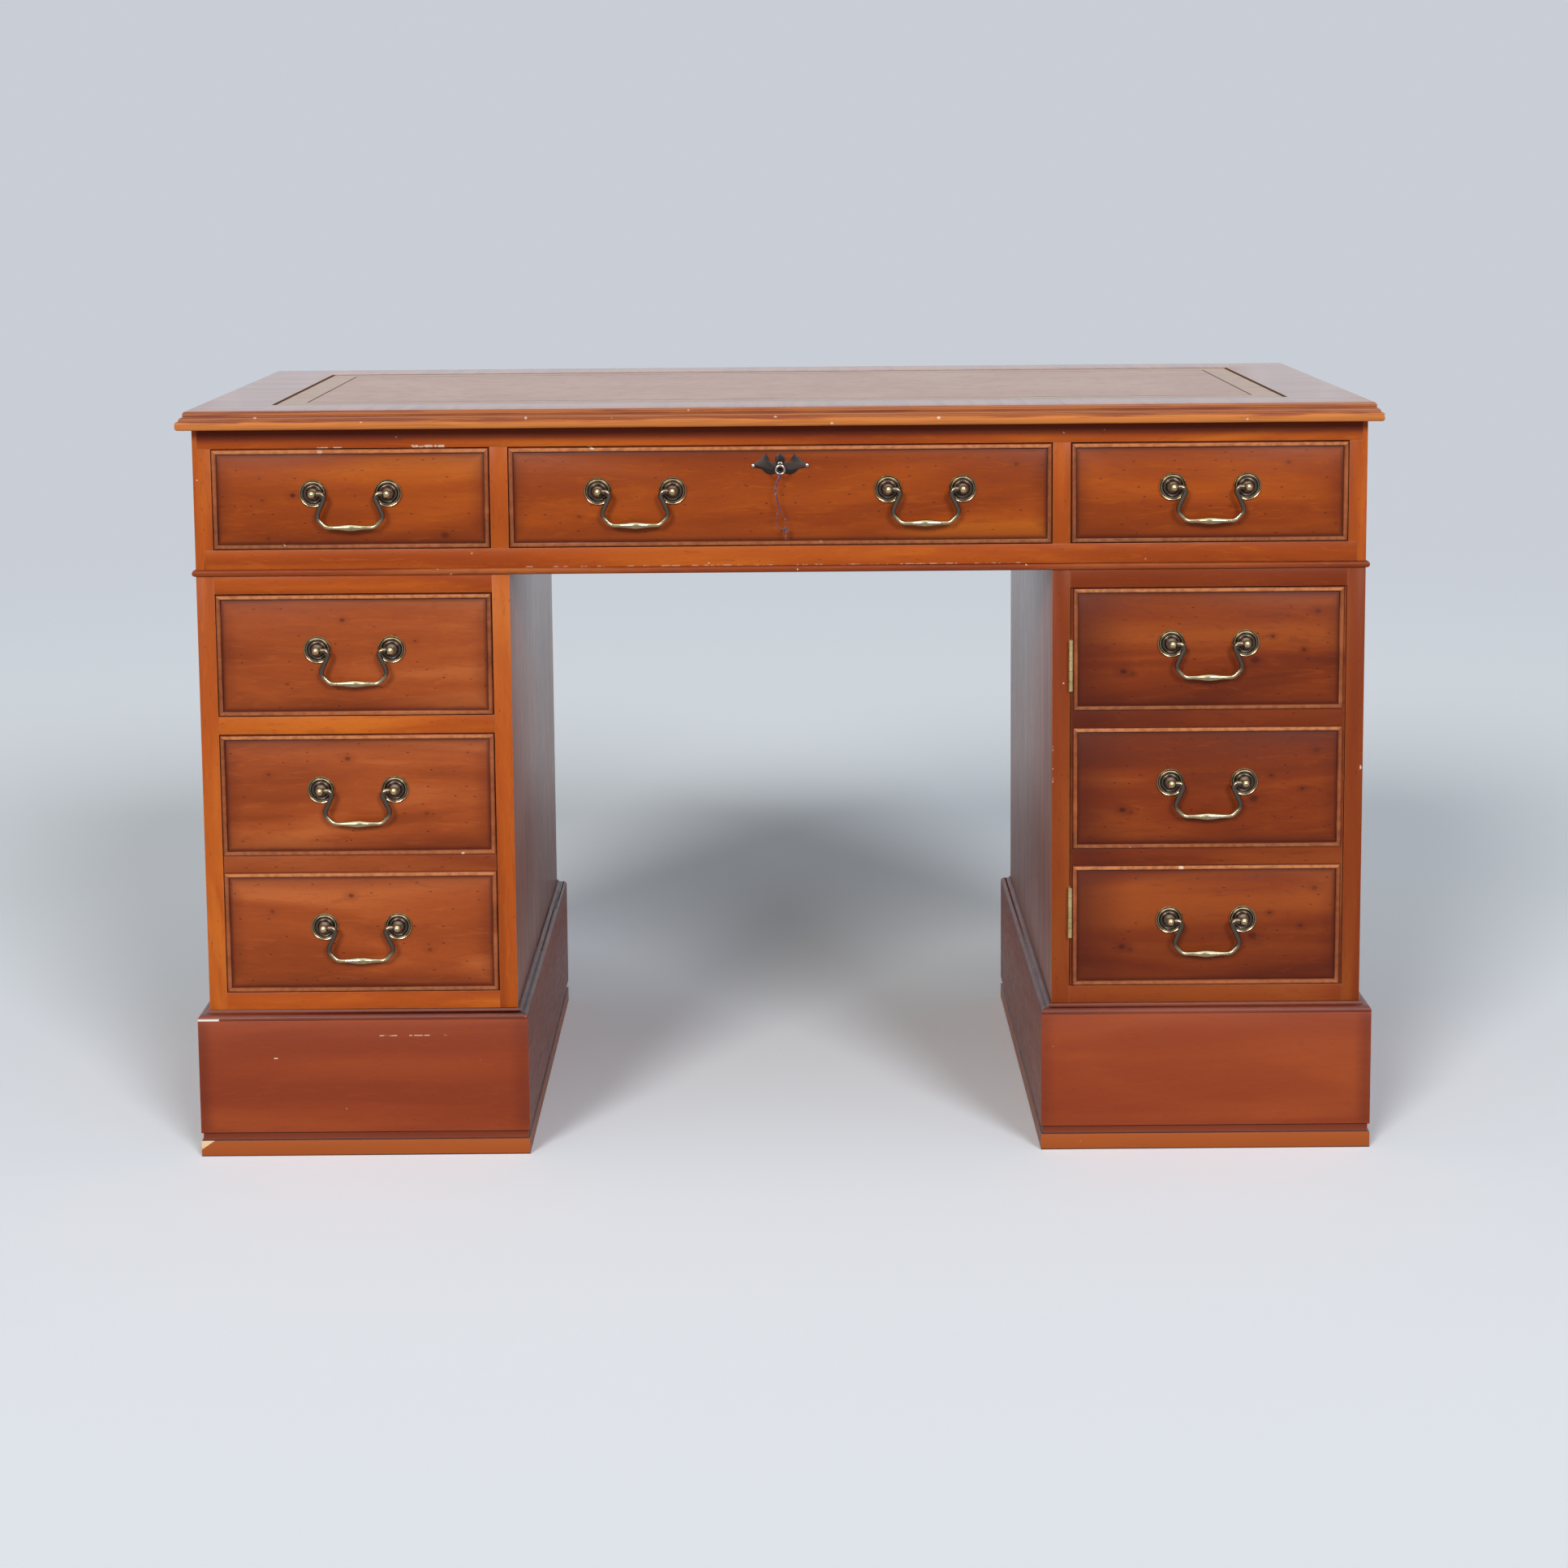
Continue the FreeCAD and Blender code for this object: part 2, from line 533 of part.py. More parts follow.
def build_front(name, middle, half_width, z_low, z_high, panels, side_margin=0):
    """A front board with raised fields, and a cock bead let in round each field.

    Returns the board, the bead strips and the middle height of each panel.
    """
    face = (front, front + s.bead_seat)
    left, right = middle - half_width, middle + half_width
    pieces = [box(name + "_core", (left, right), (front + s.bead_seat, front_back), (z_low, z_high))]
    panel_height = (z_high - z_low - s.false_rail * (panels - 1)) / panels
    beads, centres = [], []
    for number in range(panels):
        low = z_low + (panel_height + s.false_rail) * number
        high = low + panel_height
        inner = (left + side_margin + s.bead_width, right - side_margin - s.bead_width)
        pieces.append(box(name + "_field", inner, face, (low + s.bead_width, high - s.bead_width)))
        if number:
            pieces.append(box(name + "_false_rail", (left, right), face, (low - s.false_rail, low)))
        centres.append((low + high) / 2)
        beads += mitred_strips(name + "_bead_" + str(number + 1), (half_width - side_margin) * 2, panel_height,
                               s.bead_width, -s.bead_seat, s.bead_proud, STANDING, Y_AXIS,
                               (middle, front, centres[-1]), nose="face")
    if side_margin:
        for x in ((left, left + side_margin), (right - side_margin, right)):
            pieces.append(box(name + "_margin", x, face, (z_low, z_high)))
    return fuse(name + "_board", pieces), beads, centres


def build_drawer_box(name, middle, half_opening, z_low, height):
    """A dovetailed drawer box: two sides, a back and a bottom housed in the sides."""
    half = half_opening - s.box_gap
    low = z_low + s.run_gap
    depth = (front_back, inner_rear - s.box_rear_gap)
    inner = (middle - half + s.box_side, middle + half - s.box_side)
    rise = low + s.bottom_rise
    bottom = box(name + "_bottom", (inner[0] - s.bottom_groove, inner[1] + s.bottom_groove), depth,
                 (rise, rise + s.box_bottom))
    sides = group(name + "_sides", [box(name + "_side", x, depth, (low, low + height))
                                    for x in ((middle - half, inner[0]), (inner[1], middle + half))])
    back = box(name + "_back", inner, (depth[1] - s.box_back, depth[1]), (rise + s.box_bottom, low + height))
    node(name + "_box", [cut(name + "_grooved_sides", sides, bottom), back, bottom])


def flat_sided(name, rings):
    """A solid with flat sides between rings of equally many corners, closed by its end rings."""
    faces = [Part.Face(Part.makePolygon(ring + ring[:1])) for ring in (rings[0], rings[-1])]
    for near, far in zip(rings, rings[1:]):
        for k in range(len(near)):
            ahead = (k + 1) % len(near)
            side = [near[k], near[ahead], far[ahead], far[k], near[k]]
            faces.append(Part.Face(Part.makePolygon(side)))
    item = doc.addObject("Part::Feature", name)
    item.Shape = Part.Solid(Part.Shell(faces))
    return item


def ring_of(at, across, up, radius, sides):
    """The corners of a regular outline round a point, in the plane of two directions."""
    turns = [2 * math.pi * (k + 1 / 2) / sides for k in range(sides)]
    return [at + across * (radius * math.cos(turn)) + up * (radius * math.sin(turn)) for turn in turns]


def turned_form(name, sides, profile, axis):
    """A turned piece made flat-sided, from pairs of a place along its axis and a radius there."""
    across, up = (X_AXIS, Y_AXIS) if axis == Z_AXIS else (X_AXIS, Z_AXIS)
    return flat_sided(name, [ring_of(axis * float(along), across, up, float(radius), sides)
                             for along, radius in profile])


def build_post():
    """The pattern of a handle post: a round rose with a raised rim, a boss and a ball.

    It stands out along -Y, and its ball is drilled from the right for the end of the bail.
    """
    rose = turned_form("post_rose", rose_sides, [
        (0, s.rose_radius), (s.rose_edge, s.rose_crest), (s.rose_valley_depth, s.rose_valley)], -Y_AXIS)
    stem = turned_form("post_stem", stem_sides, [
        (0, s.boss_radius), (s.boss_height, s.boss_shoulder), (s.neck_height, s.neck_radius),
        (s.ball_low, s.ball_radius), (s.ball_high, s.ball_radius), (s.ball_tip, s.ball_tip_radius)], -Y_AXIS)
    reach = s.ball_radius + s.overrun
    depth = s.journal_depth + s.journal_clear
    drill = rod("post_drill", s.journal_radius + s.journal_clear, (-depth, -s.pivot_proud, 0), reach + depth,
                FreeCAD.Rotation(Y_AXIS, 90), drill_sides)
    return cut("handle_post", fuse("post_body", [rose, stem]), drill)


def rounded_corner(before, corner, after, radius, steps):
    """Places and headings of the wire along the bend of one radius at a corner of its route."""
    into, out = (corner - before).normalize(), (after - corner).normalize()
    turn = into.getAngle(out)
    side = math.copysign(1, into.x * out.z - into.z * out.x)
    start = corner - into * (radius * math.tan(turn / 2))
    centre = start + FreeCAD.Vector(-into.z, 0, into.x) * (radius * side)
    rings = []
    for step in range(steps + 1):
        angle = turn * step / steps * side
        heading = FreeCAD.Vector(into.x * math.cos(angle) - into.z * math.sin(angle), 0,
                                 into.x * math.sin(angle) + into.z * math.cos(angle))
        rings.append((centre + FreeCAD.Vector(heading.z, 0, -heading.x) * (radius * side), heading))
    return rings


def build_bail():
    """The pattern of a swan-neck bail, hanging from its pivot line through the origin.

    The wire runs in from each journal, turns out and down in a swan neck, and swells in the grip.
    Its flat-sided rings follow one another from the left journal to the right one.
    """
    post = -float(s.post_spacing) / 2
    wire, journal = float(s.bail_radius), float(s.journal_radius)
    tip = FreeCAD.Vector(post - float(s.journal_depth), 0, 0)
    shoulder = FreeCAD.Vector(post + float(s.journal_shoulder), 0, 0)
    elbow = FreeCAD.Vector(post + float(s.elbow_in), 0, 0)
    neck = FreeCAD.Vector(post + float(s.neck_out), 0, -float(s.neck_drop))
    grip = FreeCAD.Vector(post + float(s.grip_in), 0, -float(s.grip_drop))
    middle = FreeCAD.Vector(0, 0, grip.z)
    swell = wire + (float(s.grip_radius) - wire) * grip_swell_share
    rings = [(tip, X_AXIS, journal), (shoulder - X_AXIS * float(s.taper_run), X_AXIS, journal),
             (shoulder, X_AXIS, wire)]
    bends = [(shoulder, elbow, neck, s.elbow_bend, elbow_steps), (elbow, neck, grip, s.neck_bend, neck_steps),
             (neck, grip, middle, s.grip_bend, grip_steps)]
    for before, corner, after, radius, steps in bends:
        rings += [(at, heading, wire) for at, heading in rounded_corner(before, corner, after, float(radius), steps)]
    half_grip = X_AXIS * float(s.grip_half)
    rings += [(middle - half_grip, X_AXIS, wire), (middle - half_grip / 2, X_AXIS, swell)]
    mirrored = [(FreeCAD.Vector(-at.x, 0, at.z), FreeCAD.Vector(heading.x, 0, -heading.z), radius)
                for at, heading, radius in reversed(rings)]
    rings = rings + [(middle, X_AXIS, float(s.grip_radius))] + mirrored
    return flat_sided("bail_pattern", [
        ring_of(at, FreeCAD.Vector(-heading.z, 0, heading.x), Y_AXIS, radius, wire_sides)
        for at, heading, radius in rings])


def build_handles(name, post, bail, handles):
    """The posts of one front in one group, and a bail between each pair."""
    half = s.post_spacing / 2
    turned = FreeCAD.Rotation(Y_AXIS, 180)
    posts = [copy_at(name + "_post", post, (x + half * side, front, z), rotation)
             for _, x, z in handles for side, rotation in ((-1, FLAT), (1, turned))]
    node(name + "_handle_mounts", posts)
    for bail_name, x, z in handles:
        node(bail_name, [copy_at(bail_name, bail, (x, front - s.pivot_proud, z))])


def build_keyway():
    """The keyhole right through the plate, the front and the lock's face: a bore with a slot below it."""
    start, end = front - s.plate_thick - s.overrun, front_back - s.case_lock_depth + s.lock_wall + s.bit_clear
    bore = rod("keyway_bore", s.keyhole_radius, (0, end, key_z), end - start, STANDING, keyhole_sides)
    slot = box("keyway_slot", (-(s.keyhole_width / 2), s.keyhole_width / 2), (start, end),
               (key_z - s.keyhole_drop, key_z))
    return fuse("keyway", [bore, slot])


def plate_outline():
    """The bat-wing plate: a peak between two notches, ears, nailed tips and a scalloped foot."""
    notch_z = s.plate_notch_floor + (s.plate_notch_out - s.plate_notch_in) / 2
    right = [
        (0, s.plate_peak),
        (s.plate_notch_in, s.plate_peak_foot),
        (s.plate_notch_in, notch_z, round_tip_bulge),
        (s.plate_notch_out, notch_z),
        (s.plate_ear, s.plate_ear_rise, wing_bulge),
        (s.plate_tip, s.plate_tip_radius - s.plate_tip_drop, -round_tip_bulge),
        (s.plate_tip, -s.plate_tip_radius - s.plate_tip_drop),
        (s.plate_wing_in, -s.plate_wing_drop, -lobe_bulge),
        (s.plate_lobe, -s.plate_lobe_drop, wing_bulge),
    ]
    foot = [(0, -s.plate_waist_drop)]
    left = [(-corner[0], corner[1]) for corner in right[1:]]
    bulges = [corner[2:] for corner in right]
    mirrored = [corner + bulges[i] for i, corner in enumerate(left)]
    return right + [foot[0] + bulges[-1]] + list(reversed(mirrored))


def build_lock(board):
    """The lock in the middle drawer: case, bolt, key, keyhole plate and its two nails.

    Returns the drawer's front with its pocket and keyhole cut.
    """
    keyway = build_keyway()
    plate = doc.addObject("PartDesign::Body", "plate")
    pad = plate.newObject("PartDesign::Pad", "plate_pad")
    pad.Profile = outline_sketch(plate, "plate_sketch", "XZ_Plane", [plate_outline()])
    bind(pad, "Length", s.plate_thick)
    place(plate, (0, front, key_z))
    nail_z = key_z - s.plate_tip_drop
    nail_x = s.plate_tip + s.nail_out
    face = front - s.plate_thick
    shanks = group("nail_shanks", [rod("nail_shank", s.nail_shank, (x, face + s.nail_length, nail_z), s.nail_length,
                                       STANDING, shank_sides) for x in (-nail_x, nail_x)])
    head = turned_form("nail_head", nail_sides, [
        (0, s.nail_radius), (s.nail_shoulder, s.nail_shoulder_radius), (s.nail_crown, s.nail_crown_radius)], -Y_AXIS)
    heads = [copy_at("nail_head_copy", head, (x, face, nail_z)) for x in (-nail_x, nail_x)]
    node("escutcheon", [cut("escutcheon", plate, group("plate_cutters", [keyway, shanks]))])
    node("escutcheon_pins", [fuse("escutcheon_pins", heads + [shanks])])

    top_edge = z_lintel - s.drawer_gap
    case_front = front_back - s.case_lock_depth
    case = box("lock_blank", (-(s.case_lock_width / 2), s.case_lock_width / 2), (case_front, front_back),
               (top_edge - s.case_lock_height, top_edge))
    cavity_low = case_front + s.lock_wall
    cavity = (cavity_low, cavity_low + s.lock_slot_depth)
    ward = rod("lock_ward", s.lock_cavity, (0, cavity[1], key_z), s.lock_slot_depth, STANDING, keyhole_sides)
    half_bolt = s.bolt_width / 2
    channel = box("bolt_channel", (-half_bolt - s.bolt_clear, half_bolt + s.bolt_clear), cavity,
                  (key_z, top_edge + s.overrun))
    node("lock_case", [cut("lock_case", case, fuse("lock_hollow", [ward, channel, keyway]))])
    side_play = (s.lock_slot_depth - s.bolt_thick) / 2
    node("lock_bolt", [box("lock_bolt", (-half_bolt, half_bolt), (cavity[0] + side_play, cavity[1] - side_play),
                           (key_z + s.bolt_rise, top_edge - s.bolt_sink))])

    bow_y = front - s.bow_proud
    bow_z = key_z - (s.bow_outer + s.bow_inner) / 2
    bow_back = bow_y + s.bow_thick / 2
    bow = cut("key_bow", rod("bow_disc", s.bow_outer, (0, bow_back, bow_z), s.bow_thick, STANDING, bow_sides),
              rod("bow_hole", s.bow_inner, (0, bow_back + s.overrun, bow_z), s.bow_thick + s.overrun * 2,
                  STANDING, bow_sides))
    key_end = cavity[1] - s.bit_clear
    shank = rod("key_shank", s.shank_radius, (0, key_end, key_z), key_end - bow_y + s.bow_thick / 2, STANDING,
                keyhole_sides)
    collar = rod("key_collar", s.collar_radius, (0, face - s.collar_gap, key_z), s.collar_thick, STANDING,
                 keyhole_sides)
    bit = box("key_bit", (-(s.bit_thick / 2), s.bit_thick / 2), (key_end - s.bit_length, key_end),
              (key_z - s.bit_radius, key_z))
    node("key", [fuse("key", [bow, shank, collar, bit])])
    return cut("centre_front", board, group("lock_cutters", [case, keyway, shanks]))


def build_string():
    """The string through the key's bow: one tube on straight runs and tangent arcs, and its knot."""
    points = [FreeCAD.Vector(*point) for point in STRING_ROUTE]
    edges, last, radii = [], points[0], []
    for before, corner, after in zip(points, points[1:], points[2:]):
        into, out = corner - before, after - corner
        run = min(into.Length, out.Length)
        turn = into.getAngle(out)
        reach = run * round_run_share
        radii.append(reach / math.tan(turn / 2))
        start = corner - into.normalize() * reach
        end = corner + out.normalize() * reach
        bow_to = (start + end) / 2
        lift = radii[-1] * (1 / math.cos(turn / 2) - 1)
        crest = corner + (bow_to - corner).normalize() * lift
        edges.append(Part.LineSegment(last, start).toShape())
        edges.append(Part.Arc(start, crest, end).toShape())
        last = end
    edges.append(Part.LineSegment(last, points[-1]).toShape())
    path = Part.Wire(edges)
    heading = (points[1] - points[0]).normalize()
    across = heading.cross(Z_AXIS).normalize()
    up = across.cross(heading)
    radius = float(s.string_radius)
    ring = ring_of(points[0], across, up, radius, string_sides)
    outline = Part.makePolygon(ring + ring[:1])
    string = doc.addObject("Part::Feature", "string_tube")
    string.Shape = path.makePipeShell([outline], True, False)
    area = string_sides / 2 * radius ** 2 * math.sin(2 * math.pi / string_sides)
    print("string length %.1f, volume %.2f of %.2f, least radius %.2f, radii %s" % (
        path.Length, string.Shape.Volume, area * path.Length, min(radii), [round(r, 1) for r in radii]))
    node("key_string", [string])
    first, final = points[0], points[-1]
    middle = (first + final) / 2
    half = s.knot_height / 2
    knot = turned_form("string_knot", shank_sides, [
        (-half - s.tail_length, s.tail_radius), (-half - s.tail_neck, s.tail_neck), (-half, s.knot_end_radius),
        (-s.knot_belly, s.knot_radius), (s.knot_belly, s.knot_radius), (half, s.knot_end_radius)], Z_AXIS)
    knot.Placement.Base = middle
    node("string_knot", [knot])


def build_hinges():
    """Leaves, knuckles and pins of the two butt hinges, at the door's inner edge.

    Returns the plain leaves of both sides, which also cut their beds in the pedestal and the door.
    """
    axis_x = opening_in + s.drawer_gap / 2
    axis_y = front - s.knuckle_radius - s.knuckle_stand
    leaf_start = axis_y + s.knuckle_radius + s.knuckle_clear
    pitch = s.hinge_length / knuckle_count
    half_gap = s.knuckle_gap / 2
    spans = {"frame": (axis_x - s.leaf_gap / 2 - s.leaf_thick, axis_x - s.leaf_gap / 2),
             "door": (axis_x + s.leaf_gap / 2, axis_x + s.leaf_gap / 2 + s.leaf_thick)}
    lows = [z_floor + s.hinge_lower_rise, z_upper_high - s.hinge_upper_drop - s.hinge_length]
    beds = {}
    for first, side in enumerate(("frame", "door")):
        leaves, wholes = [], []
        for low in lows:
            leaf = box(side + "_leaf", spans[side], (leaf_start, front + s.leaf_width), (low, low + s.hinge_length))
            pieces = [leaf]
            for slot in range(first, knuckle_count, 2):
                z = (low + pitch * slot + half_gap, low + pitch * (slot + 1) - half_gap)
                pieces.append(rod(side + "_knuckle", s.knuckle_radius, (axis_x, axis_y, z[0]), z[1] - z[0],
                                  FLAT, knuckle_sides))
                pieces.append(box(side + "_tab", spans[side], (axis_y, leaf_start), z))
            bore = rod(side + "_bore", s.pin_radius + s.pin_clear, (axis_x, axis_y, low - s.overrun),
                       s.hinge_length + s.overrun * 2, FLAT, knuckle_sides)
            wholes.append(cut(side + "_hinge_leaf", fuse(side + "_joined_leaf", pieces), bore))
            leaves.append(leaf)
        node("hinge_" + side + "_leaves", wholes)
        beds[side] = group(side + "_beds", leaves)
    node("hinge_pins", [rod("hinge_pin", s.pin_radius, (axis_x, axis_y, low), s.hinge_length, FLAT, knuckle_sides)
                        for low in lows])
    return beds


def build_cupboard():
    """The shelf on its battens and the magnetic catch inside the right pedestal."""
    low = z_floor + s.shelf_rise
    depth = (front_back + s.shelf_setback, inner_rear)
    shelf = box("shelf", (opening_in + s.shelf_gap, opening_out - s.shelf_gap), depth, (low, low + s.shelf_thick))
    battens = [box("batten", x, depth, (low - s.batten_height, low))
               for x in ((opening_in, opening_in + s.batten_width), (opening_out - s.batten_width, opening_out))]
    node("cupboard_shelf", [shelf] + battens)
    right = opening_out - s.catch_inset
    left = right - s.catch_width
    plate_y = (front_back + s.catch_gap, front_back + s.catch_gap + s.catch_plate_proud)
    height = (z_upper_high - s.catch_height, z_upper_high)
    block = box("catch_block", (left, right), (plate_y[1], plate_y[1] + s.catch_depth), height)
    quarter = s.catch_width / 4
    plates = [box("catch_plate", (x, x + s.catch_plate), plate_y, (height[0] + s.catch_plate, height[1]))
              for x in (left + quarter, right - quarter - s.catch_plate)]
    node("door_catch", [block] + plates)


def build_fronts(beds):
    """All five drawers and the door, each with its beads and handles."""
    post, bail = build_post(), build_bail()
    half_side = s.pedestal_opening / 2
    spread = s.case_handle_spread
    file_height = z_file - s.file_box_drop - z_floor - s.run_gap
    drawers = [
        ("left_drawer", -opening_mid, half_side, z_sill, z_lintel, s.case_box_height, 1, [("bail", 0)]),
        ("centre_drawer", 0, knee, z_sill, z_lintel, s.case_box_height, 1,
         [("bail_left", -spread), ("bail_right", spread)]),
        ("right_drawer", opening_mid, half_side, z_sill, z_lintel, s.case_box_height, 1, [("bail", 0)]),
        ("upper_drawer", -opening_mid, half_side, z_upper_low, z_upper_high, s.upper_box_height, 1, [("bail", 0)]),
        ("file_drawer", -opening_mid, half_side, z_floor, z_file, file_height, 2, [("bail", 0)]),
    ]
    levels = {1: [""], 2: ["_low", "_high"], 3: ["_low", "_middle", "_high"]}
    for name, middle, half, low, high, height, panels, bails in drawers:
        board, beads, centres = build_front(name, middle, half - s.drawer_gap, low + s.drawer_gap,
                                            high - s.drawer_gap, panels)
        if name == "centre_drawer":
            board = build_lock(board)
        node(name + "_front", [board])
        node(name + "_beads", beads)
        build_drawer_box(name, middle, half, low, height)
        build_handles(name, post, bail, [(name + "_" + label + level, middle + offset, centre + s.post_rise)
                                         for level, centre in zip(levels[panels], centres)
                                         for label, offset in bails])
    board, beads, centres = build_front("door", opening_mid, half_side - s.drawer_gap, z_floor + s.drawer_gap,
                                        z_upper_high - s.drawer_gap, 3, s.door_bead_inset)
    node("door_panel", [cut("door_panel", board, beds["door"])])
    node("door_beads", beads)
    build_handles("door", post, bail, [("door_bail" + level, opening_mid, centre + s.post_rise)
                                       for level, centre in zip(levels[3], centres)])


def build_desk():
    """Builds every sub-part in the document."""
    beds = build_hinges()
    build_top()
    build_top_case()
    build_plinths()
    build_pedestals(beds["frame"])
    build_runners()
    build_cupboard()
    build_fronts(beds)
    build_string()


def check_document():
    """Stops if any object failed or any sub-part is empty or broken."""
    for item in doc.Objects:
        if "Invalid" in item.State or "Error" in item.State:
            raise RuntimeError(item.Name + " failed: " + str(item.State))
    for name, item in nodes.items():
        if item.Shape.isNull() or not item.Shape.isValid() or item.Shape.Volume <= 0:
            raise RuntimeError(name + " has no valid shape")


build_desk()
doc.recompute()
check_document()
os.makedirs("parts", exist_ok=True)
for name, item in nodes.items():
    item.Shape.exportStep("parts/" + name + ".step")
print(len(nodes), "sub-parts written")
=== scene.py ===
"""Twin-pedestal writing desk in yew veneer: its looks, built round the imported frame.

The top has a leather panel let in, every front has a cock bead and swan-neck bail handles, and a
key with a loop of string hangs in the middle drawer. Lengths are metres, made from millimetres.
"""
import json
import logging
import math
import random
from contextlib import contextmanager
from dataclasses import dataclass, replace
from enum import Enum
from typing import Callable, Iterator, Optional, Sequence

import bmesh
import bpy
from mathutils import Matrix, Vector

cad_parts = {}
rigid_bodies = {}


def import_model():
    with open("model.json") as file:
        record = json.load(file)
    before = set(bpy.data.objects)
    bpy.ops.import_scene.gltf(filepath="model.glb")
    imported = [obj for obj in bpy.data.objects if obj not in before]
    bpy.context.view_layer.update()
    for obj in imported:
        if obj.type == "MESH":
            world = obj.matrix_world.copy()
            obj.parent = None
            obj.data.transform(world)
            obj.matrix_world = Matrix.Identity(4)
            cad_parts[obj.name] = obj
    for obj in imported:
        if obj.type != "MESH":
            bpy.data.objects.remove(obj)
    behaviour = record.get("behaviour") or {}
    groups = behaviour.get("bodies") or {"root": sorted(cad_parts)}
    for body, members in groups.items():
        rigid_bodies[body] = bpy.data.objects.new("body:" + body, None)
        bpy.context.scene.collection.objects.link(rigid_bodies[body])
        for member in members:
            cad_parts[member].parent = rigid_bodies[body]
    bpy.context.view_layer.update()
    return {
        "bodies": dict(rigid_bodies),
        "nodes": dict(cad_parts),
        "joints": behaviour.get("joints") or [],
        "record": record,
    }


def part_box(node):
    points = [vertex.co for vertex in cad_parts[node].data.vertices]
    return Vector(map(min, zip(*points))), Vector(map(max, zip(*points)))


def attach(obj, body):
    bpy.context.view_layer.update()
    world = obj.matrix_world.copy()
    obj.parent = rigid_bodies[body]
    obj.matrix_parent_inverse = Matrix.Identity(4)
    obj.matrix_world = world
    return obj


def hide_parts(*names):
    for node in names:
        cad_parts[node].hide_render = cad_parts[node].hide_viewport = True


log = logging.getLogger("desk")
MM = 0.001
WELD = 0.002 * MM
NEAR = 0.01 * MM
FLAT_DEG = 0.5
SHARP_DEG = 38
# A strip of faces this much narrower than the eased width, or more, is an eased edge
STRIP_SHARE = 0.9
FORWARD = Matrix.Rotation(math.radians(90), 4, "X")
Socket = bpy.types.NodeSocket
Adder = Callable[..., Socket]

# For each kind of node: Blender's type, its settings, its inputs in their order, and the outputs read
KINDS: dict[str, tuple[str, dict, tuple, tuple]] = {
    "place": ("ShaderNodeTexCoord", {}, (), ("Object",)),
    "facing": ("ShaderNodeTexCoord", {}, (), ("Normal",)),
    "sky": ("ShaderNodeTexCoord", {}, (), ("Generated",)),
    "rays": ("ShaderNodeLightPath", {}, (), ("Is Camera Ray", "Is Glossy Ray", "Is Transmission Ray")),
    "edge": ("ShaderNodeAttribute", {"attribute_name": "edge"}, (), ("Fac",)),
    "polish": ("ShaderNodeAttribute", {"attribute_name": "polish"}, (), ("Fac",)),
    "axes": ("ShaderNodeSeparateXYZ", {}, (0,), (0, 1, 2)),
    "vector": ("ShaderNodeCombineXYZ", {}, (0, 1, 2), (0,)),
    "length": ("ShaderNodeVectorMath", {"operation": "LENGTH"}, (0,), ("Value",)),
    "drawn": ("ShaderNodeMapping", {}, ("Vector", "Scale", "Location"), (0,)),
    "noise": ("ShaderNodeTexNoise", {}, ("Vector", "Scale", "Detail", "Roughness", "Distortion"), (0,)),
    "cells": ("ShaderNodeTexVoronoi", {}, ("Vector", "Scale"), ("Distance", "Color")),
    "flat cells": ("ShaderNodeTexVoronoi", {"voronoi_dimensions": "2D"}, ("Vector", "Scale"),
                   ("Distance", "Color")),
    "cell walls": ("ShaderNodeTexVoronoi", {"feature": "DISTANCE_TO_EDGE"}, ("Vector", "Scale"),
                   ("Distance",)),
    "steps": ("ShaderNodeTexWave", {"bands_direction": "Z", "wave_profile": "SIN"}, ("Vector", "Scale"),
              ("Fac",)),
    "channels": ("ShaderNodeSeparateColor", {}, (0,), (0, 1, 2)),
    "ramp": ("ShaderNodeMapRange", {"interpolation_type": "SMOOTHSTEP"},
             ("Value", "From Min", "From Max", "To Min", "To Max"), ("Result",)),
    "mix": ("ShaderNodeMix", {"data_type": "RGBA"}, (0, 6, 7), (2,)),
    "bump": ("ShaderNodeBump", {}, ("Height", "Strength", "Distance"), (0,)),
    "shader": ("ShaderNodeBsdfPrincipled", {}, (), ("BSDF",)),
    "paint": ("ShaderNodeBsdfDiffuse", {}, ("Color",), (0,)),
    "glow": ("ShaderNodeEmission", {}, ("Color", "Strength"), (0,)),
    "light": ("ShaderNodeBackground", {}, ("Color", "Strength"), (0,)),
    "either": ("ShaderNodeMixShader", {}, (0, 1, 2), (0,)),
    "surface": ("ShaderNodeOutputMaterial", {}, ("Surface",), ()),
    "world": ("ShaderNodeOutputWorld", {}, ("Surface",), ()),
}
KNOT_HEART = "#3A150C"
PIP = "#3F160C"
BARE_WOOD = "#E6CFBA"
EVERY_X = (-1.0, 1.0)


def colour(code: str) -> tuple[float, float, float, float]:
    """Turns an sRGB hex code to the linear colour that a socket takes.

    Args:
        code: Six hex digits after a hash sign.

    Returns:
        Linear red, green and blue, and an alpha of one.
    """
    parts = [int(code[k:k + 2], 16) / 255 for k in (1, 3, 5)]
    linear = [p / 12.92 if p <= 0.04045 else ((p + 0.055) / 1.055) ** 2.4 for p in parts]
    return (linear[0], linear[1], linear[2], 1.0)


